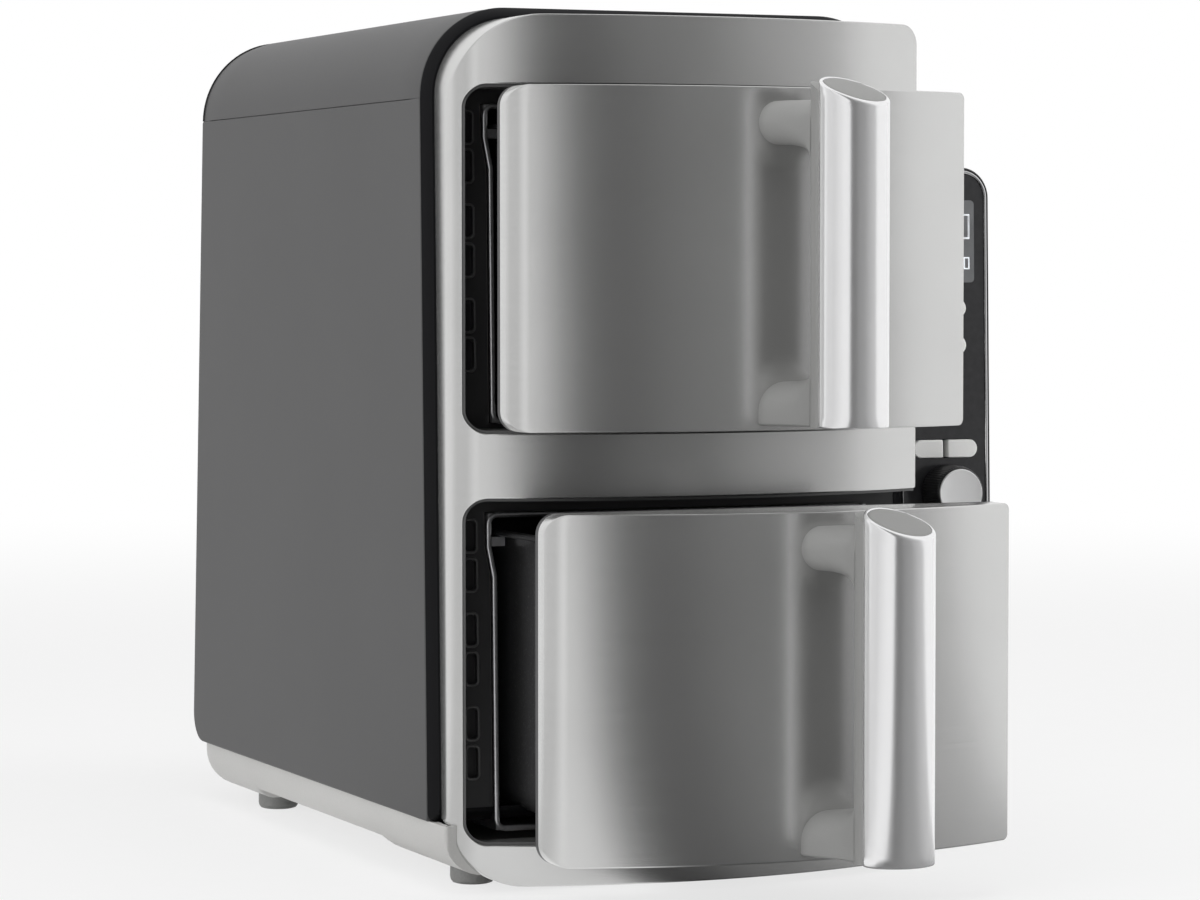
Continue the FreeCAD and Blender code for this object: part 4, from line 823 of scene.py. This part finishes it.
class FRYER_OT_case(bpy.types.Operator):
    """Side panels with eased edges, arched top cover and the black bevelled rim in front of them"""

    bl_idname = "fryer.case"
    bl_label = "Case"

    def execute(self, context):
        edge = sizes().panel_edge
        for side, sign in (("left", -1), ("right", 1)):
            node = side + "_side_panel"
            first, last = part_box(node)
            z0, z1 = first.z, last.z
            eased, heel = 2 * edge, 0.014
            corners = [(front_line(z0) + RIM_DEPTH, z0, eased), (rear_line(z0), z0, heel),
                       (rear_line(z1), z1, eased), (front_line(z1) + RIM_DEPTH, z1, eased)]
            outer, inner = (first.x, last.x) if sign < 0 else (last.x, first.x)
            rows = [(inset, outer - sign * depth) for inset, depth in rounding(edge)] + [(0.0, inner)]
            add_piece(node + "_sheet", [solid(corners, 0.01, 10, rows, yz)], "housing",
                      "grained_panel", (node,))
        self.top_cover(edge)
        self.rim()
        return {"FINISHED"}

    def top_cover(self, edge):
        """Arch of two shoulder arcs and a flat, carried from the front to the rear plane with eased ends."""
        first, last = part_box("top_cover")
        shoulder, sheet = sizes().case_round, 0.002
        t = np.linspace(0, QUARTER_TURN, 24)
        flat = np.linspace(first.x + shoulder, last.x - shoulder, 20)[1:-1]

        def arch(inset):
            r = shoulder - inset
            left = np.stack([first.x + shoulder - r * np.cos(t), last.z - shoulder + r * np.sin(t)], axis=-1)
            right = np.stack([last.x - shoulder + r * np.sin(t), last.z - shoulder + r * np.cos(t)], axis=-1)
            middle = np.stack([flat, np.full(len(flat), last.z - inset)], axis=-1)
            return np.concatenate([[(first.x + inset, first.z)], left, middle, right,
                                   [(last.x - inset, first.z)]])

        steps = [(sheet, 0.0)] + rounding(edge)[::-1]
        rows = [leaning(arch(inset), RIM_DEPTH + depth) for inset, depth in steps]
        plan = arch(0.0)
        for share in np.linspace(0, 1, 24)[1:-1]:
            y = (front_line(plan[:, 1]) + RIM_DEPTH) * (1 - share) + rear_line(plan[:, 1]) * share
            rows.append(np.stack([plan[:, 0], y, plan[:, 1]], axis=-1))
        for inset, depth in steps[::-1]:
            plan = arch(inset)
            rows.append(np.stack([plan[:, 0], rear_line(plan[:, 1]) - depth, plan[:, 1]], axis=-1))
        grid = np.stack(rows + rows[:1])
        add_piece("top_cover_arch", [(grid, False)], "housing", "grained_panel", ("top_cover",))

    def rim(self):
        """Bevelled rim round the case's front: a profile of (inset, depth) carried along its outline."""
        shoulder, toe = sizes().case_round, 0.004
        corners = [(CASE_LEFT, PANEL_LOW, toe), (CASE_RIGHT, PANEL_LOW, toe),
                   (CASE_RIGHT, CASE_TOP, shoulder), (CASE_LEFT, CASE_TOP, shoulder)]
        profile = [(0.0003, RIM_DEPTH), (0.0, 0.0043), (0.0, 0.0040), (0.0002, 0.0036), (0.0038, -0.00005),
                   (0.0043, -0.00018), (0.0058, -0.00018), (0.0058, 0.0006)]
        add_piece("case_front_rim", [band(corners, 0.006, 24, profile, leaning)], "housing",
                  "black_rim", (), 50.0)


class FRYER_OT_base(bpy.types.Operator):
    """Pale base with rounded lower edges and shallow side arches, and its rubber feet"""

    bl_idname = "fryer.base"
    bl_label = "Base and feet"

    def execute(self, context):
        self.tray()
        self.feet()
        return {"FINISHED"}

    def tray(self):
        """Outline round the base at each height: drawn in below as a quarter round, arched along the sides.

        The lower rows rise to the arch line, a flat hump along y with smooth ends. The front wall stays
        upright and drops to a sill at the lower drawer's mouth."""
        first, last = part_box("base_tray")
        curve, front_corner, rear_corner, thick = 0.018, 0.002, 0.020, 0.003
        arch_start, arch_end, arch_slope, arch_rise = BACKWARD + 0.092, BACKWARD + 0.264, 0.012, 0.006
        arch_width, floor, margin = 0.034, 0.0095, 0.0004
        corners = [(first.x, first.y, front_corner), (last.x, first.y, front_corner),
                   (last.x, last.y, rear_corner), (first.x, last.y, rear_corner)]
        points, normals = outline(corners, 0.002, 10)
        a = np.linspace(0, QUARTER_TURN, 10)[::-1]
        outer = [(curve * (1 - math.cos(t)), first.z + curve * (1 - math.sin(t))) for t in a]
        outer += [(0.0, first.z + curve), (0.0, last.z)]
        inner = [(thick, last.z), (thick, first.z + floor)]
        sill = opening("lower")[1]
        mouth = (low("front_frame").x + 0.004, last.x - thick)
        front_wall, lip = first.y + 0.0035, points[:, 1] < first.y + 0.0025

        def place(plan, height):
            y = plan[:, 1]
            rise = (np.clip((y - arch_start + arch_slope) / arch_slope, 0, 1)
                    * np.clip((arch_end + arch_slope - y) / arch_slope, 0, 1))
            rise = rise * rise * (3 - 2 * rise)
            inside = np.minimum(plan[:, 0] - first.x, last.x - plan[:, 0])
            z = np.maximum(height, first.z + arch_rise * rise * (inside < arch_width))
            at_mouth = (y < front_wall) & (plan[:, 0] > mouth[0]) & (plan[:, 0] < mouth[1])
            return np.stack([plan[:, 0], y, np.where(at_mouth, np.minimum(z, sill), z)], axis=-1)

        def drawn(inset):
            plan = points - normals * inset
            plan[lip, 0] = np.clip(points[lip, 0], first.x + inset, last.x - inset)
            plan[lip, 1] = points[lip, 1]
            return plan

        under = [place(p, outer[0][1]) for p in to_centre(drawn(outer[0][0] + margin), 10)][::-1]
        walls = [place(drawn(inset), height) for inset, height in outer]
        over = [place(p, inner[-1][1]) for p in to_centre(points - normals * (thick + margin), 10)]
        grid = np.concatenate([under, walls, rings(points, normals, inner, place), over])
        add_piece("base_tray_moulding", [(grid, True)], "housing", "pale_base", ("base_tray",))

    def feet(self):
        """Each foot is a turned profile: a flat tread with a round edge under a straight neck."""
        first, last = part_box("rubber_feet")
        radius = 0.010
        profile = [(0.0, 0.0), (0.0075, 0.0), (0.0088, 0.0004), (0.0096, 0.0014), (radius, 0.003),
                   (0.0099, 0.008), (0.0085, 0.0081), (0.0, 0.0081)]
        angle = np.linspace(0, FULL_TURN, 64, endpoint=False)
        around = np.stack([np.cos(angle), np.sin(angle)], axis=-1)
        grids = []
        for x in (first.x + radius, last.x - radius):
            for y in (first.y + radius, last.y - radius):
                grids.append((np.stack([xy(around * r + (x, y), z) for r, z in profile]), True))
        add_piece("rubber_feet_turned", grids, "housing", "foot_rubber", ("rubber_feet",))


class FRYER_OT_control_pod(bpy.types.Operator):
    """Control pod: rounded housing, bright trim line, white keys, dial, and lit marks in the window"""

    bl_idname = "fryer.control_pod"
    bl_label = "Control pod"

    def execute(self, context):
        first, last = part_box("control_housing")
        self.middle = (first.x + last.x) / 2
        around = (rectangle(first.x, last.x, first.z, last.z, 0.014), 0.006, 16)
        back, turn = 0.048, 0.009
        shell = [(0.0012, 0.004), (0.0012, 0.0004), (0.0008, 0.0), (0.0003, 0.0002), (0.0, 0.0008),
                 (0.0, back - turn)]
        shell += [(turn * (1 - math.cos(t)), back - turn * (1 - math.sin(t)))
                  for t in np.linspace(0, QUARTER_TURN, 8)]
        add_piece("control_housing_moulding", [solid(*around, shell, self.lean)], "housing",
                  "black_moulding", ("control_housing",))
        trim = [(0.0013, 0.001), (0.0014, -0.0003), (0.0017, -0.0006), (0.0024, -0.0006), (0.0027, -0.0003),
                (0.0028, 0.001)]
        add_piece("panel_trim_line", [band(*around, trim, self.lean)], "housing", "chrome",
                  ("panel_trim",), 60.0)
        self.keys()
        self.dial()
        self.marks()
        return {"FINISHED"}

    def lean(self, plan, depth):
        """Front-view points at a depth behind the pod's leaning face."""
        return leaning(plan, POD_SETBACK + depth)

    def keys(self):
        """A key is its outline with a rounded top: obround, round, or half of a split pill."""
        lip, split, proud = 0.001, 0.0006, 0.0009
        rows = [(0.0, 0.004)] + [(inset, depth - proud) for inset, depth in rounding(0.0005)[::-1]]
        for name in KEYS:
            first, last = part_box(name)
            x0, x1, z0, z1 = first.x + lip, last.x - lip, first.z + lip, last.z - lip
            half = (z1 - z0) / 2 - 0.00002
            radii = {"left_pill_key": (half, split, split, half),
                     "right_pill_key": (split, half, half, split)}.get(name, (min(half, (x1 - x0) / 2),) * 4)
            corners = [(x, z, r * 0.999) for (x, z), r in
                       zip(((x0, z0), (x1, z0), (x1, z1), (x0, z1)), radii)]
            add_piece(name + "_top", [solid(corners, 0.002, 14, rows, self.lean, 6, 0.00005)],
                      name + "_body", "white_key", (name,))

    def dial(self):
        """Dial: a turned skirt with fine flutes, r + d cos(60 a), under a dished spun cap."""
        first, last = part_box("dial_knob")
        middle = np.array([self.middle, (first.z + last.z) / 2])
        flutes, flute_depth = 60, 0.00018
        angle = np.linspace(0, FULL_TURN, 360, endpoint=False)
        around = np.stack([np.cos(angle), np.sin(angle)], axis=-1)
        flute = flute_depth * np.cos(angle * flutes)[:, None]

        def turned(profile, fluted=()):
            rows = [self.lean(middle + around * (radius + flute * (row in fluted)), depth)
                    for row, (radius, depth) in enumerate(profile)]
            return [(np.stack(rows), True)]

        skirt = [(0.0, -0.0007), (0.0119, -0.0007), (0.0124, -0.0012), (0.0123, -0.0025), (0.0120, -0.0135),
                 (0.0117, -0.0148), (0.0112, -0.0152), (0.0104, -0.0150), (0.0, -0.0146)]
        add_piece("dial_knob_skirt", turned(skirt, (3, 4)), "dial", "black_moulding",
                  ("dial_knob",))
        cap = [(0.0, -0.0140), (0.0109, -0.0148), (0.0109, -0.0155), (0.0106, -0.0158), (0.0100, -0.0157),
               (0.006, -0.0154), (0.0, -0.0153)]
        add_piece("dial_cap_spun", turned(cap), "dial", "spun_metal", ("dial_cap",))

    def marks(self):
        """Lit marks: two rows of seven-bar digits in the window and three lamps under the upper keys."""
        first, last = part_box("display_window")
        middle = (first.z + last.z) / 2
        bars = {"a": (0, 1, 1, 1), "b": (1, 0.5, 1, 1), "c": (1, 0, 1, 0.5), "d": (0, 0, 1, 0),
                "e": (0, 0, 0, 0.5), "f": (0, 0.5, 0, 1), "g": (0, 0.5, 1, 0.5)}
        digits = {"0": "adfbec", "1": "bc", "2": "abged", "8": "agdfbec"}
        shape, space, margin = 0.47, 0.44, 0.0028
        grids = []
        for word, z, tall, thick in (("180", middle + 0.0015, 0.0107, 0.0008),
                                     ("20", middle - 0.0125, 0.0050, 0.0006)):
            wide = tall * shape
            step = wide * (1 + space)
            x = last.x - margin - (len(word) * step - wide * space)
            for digit in word:
                for a, b, c, d in [bars[bar] for bar in digits[digit]]:
                    corners = rectangle(x + a * wide - thick / 2, x + c * wide + thick / 2,
                                        z + b * tall - thick / 2, z + d * tall + thick / 2, thick * 0.4)
                    grids.append(solid(corners, 0.004, 3, [(0.0, 0.0), (0.0, -0.00012)], self.lean, 2))
                x += step
        lamp, half, lamp_heights = self.middle + 0.0030, 0.0009, (0.221, 0.2126, 0.2043)
        for z in lamp_heights:
            corners = rectangle(lamp - half, lamp + half, z - half, z + half, 0.00089)
            grids.append(solid(corners, 0.004, 6, [(0.0, 0.0), (0.0, -0.00015)], self.lean, 2))
        add_piece("lit_marks", grids, "housing", "lit_mark")


KEPT = {
    # The bulkhead's finish is the black moulding lightened: painted light for the openings' shade.
    "front_bulkhead": "bulkhead_moulding", "rear_cover": "rear_moulding", "cord_gland": "black_moulding",
    "rear_screws": "steel_fastener", "control_panel": "gloss_panel", "display_window": "display_glass",
    "control_board": "circuit_board", "dial_encoder": "motor_metal",
}
KEPT_EACH = {
    # The opening trims share the pocket rims' lighter grey, which is partly painted light.
    "opening_trim": "opening_lip", "cavity": "rolled_steel", "runners": "rolled_steel",
    "fan_guard": "rolled_steel", "fan": "fan_metal", "fan_motor": "motor_metal", "heater": "motor_metal",
    "drawer_back": "black_moulding", "handle_screws": "steel_fastener", "crisper_plate": "nonstick",
    "plate_feet": "foot_rubber",
}


class FRYER_OT_kept_nodes(bpy.types.Operator):
    """Finishes of the pieces whose shape the frame already gives"""

    bl_idname = "fryer.kept_nodes"
    bl_label = "Kept pieces"

    def execute(self, context):
        table = dict(KEPT)
        for storey in STOREYS:
            table.update({storey + "_" + piece: name for piece, name in KEPT_EACH.items()})
        for node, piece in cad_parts.items():
            if node in table:
                piece.data.materials.clear()
                piece.data.materials.append(finish(table[node]))
        return {"FINISHED"}


def facing(tree, toward):
    """Angle of a direction about the upright axis, from 0 to 1 with the front at a half."""
    east = add_node(tree, "ShaderNodeSeparateXYZ", None, {0: toward}, 0)
    north = add_node(tree, "ShaderNodeSeparateXYZ", None, {0: toward}, 1)
    return east.math("ARCTAN2", north * -1.0) * (1 / FULL_TURN) + 0.5


# Brightness of the studio's walls round the object, by the angle from the front in degrees.
WALLS = ((-180, 1.0), (-120, 1.0), (-98, 0.72), (-62, 0.70), (-36, 1.0), (-22, 1.0), (-18, 0.30),
         (-12.5, 0.02), (-3, 0.06), (6, 0.16), (20, 0.20), (34, 0.38), (52, 0.54), (60, 1.0), (180, 1.0))
# Each softbox's place, target and size.
SOFTBOXES = {
    "left": ((-1.9, -0.35, 0.75), (-0.05, 0.0, 0.2), (1.0, 1.9)),
    "right": ((1.55, -0.75, 0.6), (0.0, -0.1, 0.2), (0.9, 1.9)),
    "top": ((-0.2, -0.3, 1.9), (0.0, 0.0, 0.2), (1.6, 1.6)),
}
# The camera's place, measured from the part source's own zero in y, its tilt and its turn in degrees.
EYE, TILT, TURN = (-0.7570, -1.6179, 0.2718), 2.61, -23.17
# Outputs of the Light Path node.
CAMERA_RAY, GLOSSY_RAY, TRANSMISSION_RAY = 0, 3, 6


class FRYER_OT_stage(bpy.types.Operator):
    """Pale floor that sweeps up behind, softboxes at both sides and above, and the camera"""

    bl_idname = "fryer.stage"
    bl_label = "Stage"

    def execute(self, context):
        scene = context.scene
        settings = scene.fryer_stage
        scene.view_settings.view_transform = "Standard"
        self.sweep()
        self.world(settings.fill)
        for side, (place, target, size) in SOFTBOXES.items():
            self.softbox(side + "_softbox", place, target, size, getattr(settings, side + "_light"))
        camera = bpy.data.cameras.new("camera")
        camera.sensor_fit = "HORIZONTAL"
        camera.sensor_width = 36.0
        camera.lens = settings.lens
        camera.clip_end = 50.0
        eye = bpy.data.objects.new("camera", camera)
        eye.location = (EYE[0], EYE[1] + BACKWARD, EYE[2])
        eye.rotation_euler = (math.radians(90 - TILT), 0.0, math.radians(TURN))
        scene.collection.objects.link(eye)
        scene.camera = eye
        return {"FINISHED"}

    def sweep(self):
        """Floor and backdrop: a flat carried along a path that turns up through a quarter circle behind."""
        reach, bend_start, bend, columns = 9.0, 4.0, 2.0, 12
        t = np.linspace(0, QUARTER_TURN, 24)
        turn = np.stack([bend_start + bend * np.sin(t), bend - bend * np.cos(t)], axis=-1)
        path = np.concatenate([[(-reach, 0.0)], turn, [(bend_start + bend, reach)]])
        across = np.linspace(-reach, reach, columns)
        shape = (len(path), columns)
        grid = np.stack([np.broadcast_to(across, shape), np.broadcast_to(path[:, :1], shape),
                         np.broadcast_to(path[:, 1:], shape)], axis=-1)
        mesh = bpy.data.meshes.new("studio_sweep")
        mesh.from_pydata(grid.reshape(-1, 3).tolist(), [], quads(len(path), columns, False).tolist())
        mesh.polygons.foreach_set("use_smooth", np.ones(len(mesh.polygons), dtype=bool))
        mesh.materials.append(self.paper())
        floor = bpy.data.objects.new("studio_sweep", mesh)
        bpy.context.scene.collection.objects.link(floor)

    def paper(self):
        """White paper that glows for the camera, more so far off, and shows the walls' tones to mirrors."""
        near_glow, far_glow, near_end, far_end = 0.74, 0.26, 0.5, 2.6
        paper = Finish("studio_paper", roughness=0.9, specular_ior_level=0.1)
        paper.tint((0.86, 0.86, 0.86), paper.noise(60.0), 0.01)
        seen = paper.node("ShaderNodeLightPath", output=CAMERA_RAY)
        glossy = paper.node("ShaderNodeLightPath", output=GLOSSY_RAY)
        ground = paper.place((1.0, 1.0, 1.0))
        tone = paper.node("ShaderNodeMix", {"data_type": "RGBA"},
                          {0: glossy, 6: (1.0, 1.0, 1.0, 1.0), 7: self.walls(paper.tree, ground)}, 2)
        glow = paper.node("ShaderNodeEmission", None, {"Color": tone, "Strength": 1.0})
        away = paper.node("ShaderNodeVectorMath", {"operation": "LENGTH"}, {0: ground}, 1)
        far = paper.node("ShaderNodeMapRange", {"interpolation_type": "SMOOTHSTEP"},
                         {0: away, 1: near_end, 2: far_end, 3: 0.0, 4: 1.0})
        share = seen * (near_glow + far * far_glow) + glossy
        mixed = paper.node("ShaderNodeMixShader", None, {0: share, 1: paper.output(), 2: glow})
        paper.tree.links.new(mixed.socket, paper.tree.nodes["Material Output"].inputs["Surface"])
        return paper.material

    def world(self, strength):
        """Even light; the camera sees white, and mirrors see white walls with a dark one in front."""
        world = bpy.data.worlds.new("studio")
        world.use_nodes = True
        bpy.context.scene.world = world
        tree = world.node_tree
        background = tree.nodes["Background"]
        background.inputs["Color"].default_value = (1.0, 1.0, 1.0, 1.0)
        seen, glossy, glass = [add_node(tree, "ShaderNodeLightPath", output=ray)
                               for ray in (CAMERA_RAY, GLOSSY_RAY, TRANSMISSION_RAY)]
        toward = add_node(tree, "ShaderNodeTexCoord", output=0)
        level = self.walls(tree, toward) * 1.0
        mirror = glossy.math("MAXIMUM", glass) * (1.0 - seen)
        plain = (1.0 - seen) * (1.0 - mirror)
        tree.links.new((seen + mirror * level + plain * strength).socket, background.inputs["Strength"])

    def walls(self, tree, toward):
        """The walls' tone in a direction."""
        stops = tuple((angle / 360 + 0.5, (level, level, level, 1.0)) for angle, level in WALLS)
        return add_node(tree, "ShaderNodeValToRGB", {"stops": stops}, {"Fac": facing(tree, toward)})

    def softbox(self, name, place, target, size, energy):
        """A rectangular lamp that faces a point."""
        lamp = bpy.data.lights.new(name, "AREA")
        lamp.shape = "RECTANGLE"
        lamp.size, lamp.size_y = size
        lamp.energy = energy
        holder = bpy.data.objects.new(name, lamp)
        holder.location = place
        holder.visible_glossy = False
        away = holder.location - type(holder.location)(target)
        holder.rotation_euler = away.to_track_quat("Z", "Y").to_euler()
        bpy.context.scene.collection.objects.link(holder)


class FRYER_PT_panel(bpy.types.Panel):
    """Lists the pieces, sizes, colours and stage"""

    bl_label = "Fryer"
    bl_idname = "FRYER_PT_panel"
    bl_space_type = "VIEW_3D"
    bl_region_type = "UI"
    bl_category = "Fryer"

    def draw(self, context):
        for operator in PIECES:
            self.layout.operator(operator.bl_idname)
        for name, group in GROUPS.items():
            for setting in group.__annotations__:
                self.layout.prop(getattr(context.scene, name), setting)


GROUPS = {"fryer_sizes": Sizes, "fryer_colours": Colours, "fryer_stage": StageSettings}
PIECES = (FRYER_OT_case, FRYER_OT_front_frame, FRYER_OT_drawer_fronts, FRYER_OT_handles, FRYER_OT_baskets,
          FRYER_OT_mouths, FRYER_OT_base, FRYER_OT_control_pod, FRYER_OT_kept_nodes, FRYER_OT_stage)


def register():
    """Adds the settings, operators and panel."""
    for name, group in GROUPS.items():
        bpy.utils.register_class(group)
        setattr(bpy.types.Scene, name, bpy.props.PointerProperty(type=group))
    for operator in PIECES:
        bpy.utils.register_class(operator)
    bpy.utils.register_class(FRYER_PT_panel)


def unregister():
    """Takes them away again."""
    bpy.utils.unregister_class(FRYER_PT_panel)
    for operator in reversed(PIECES):
        bpy.utils.unregister_class(operator)
    for name, group in GROUPS.items():
        delattr(bpy.types.Scene, name)
        bpy.utils.unregister_class(group)


def main():
    """Makes every piece in order."""
    register()
    bpy.ops.fryer.case()
    bpy.ops.fryer.front_frame()
    bpy.ops.fryer.drawer_fronts()
    bpy.ops.fryer.handles()
    bpy.ops.fryer.baskets()
    bpy.ops.fryer.mouths()
    bpy.ops.fryer.base()
    bpy.ops.fryer.control_pod()
    bpy.ops.fryer.kept_nodes()
    bpy.ops.fryer.stage()


if __name__ == "__main__":
    main()
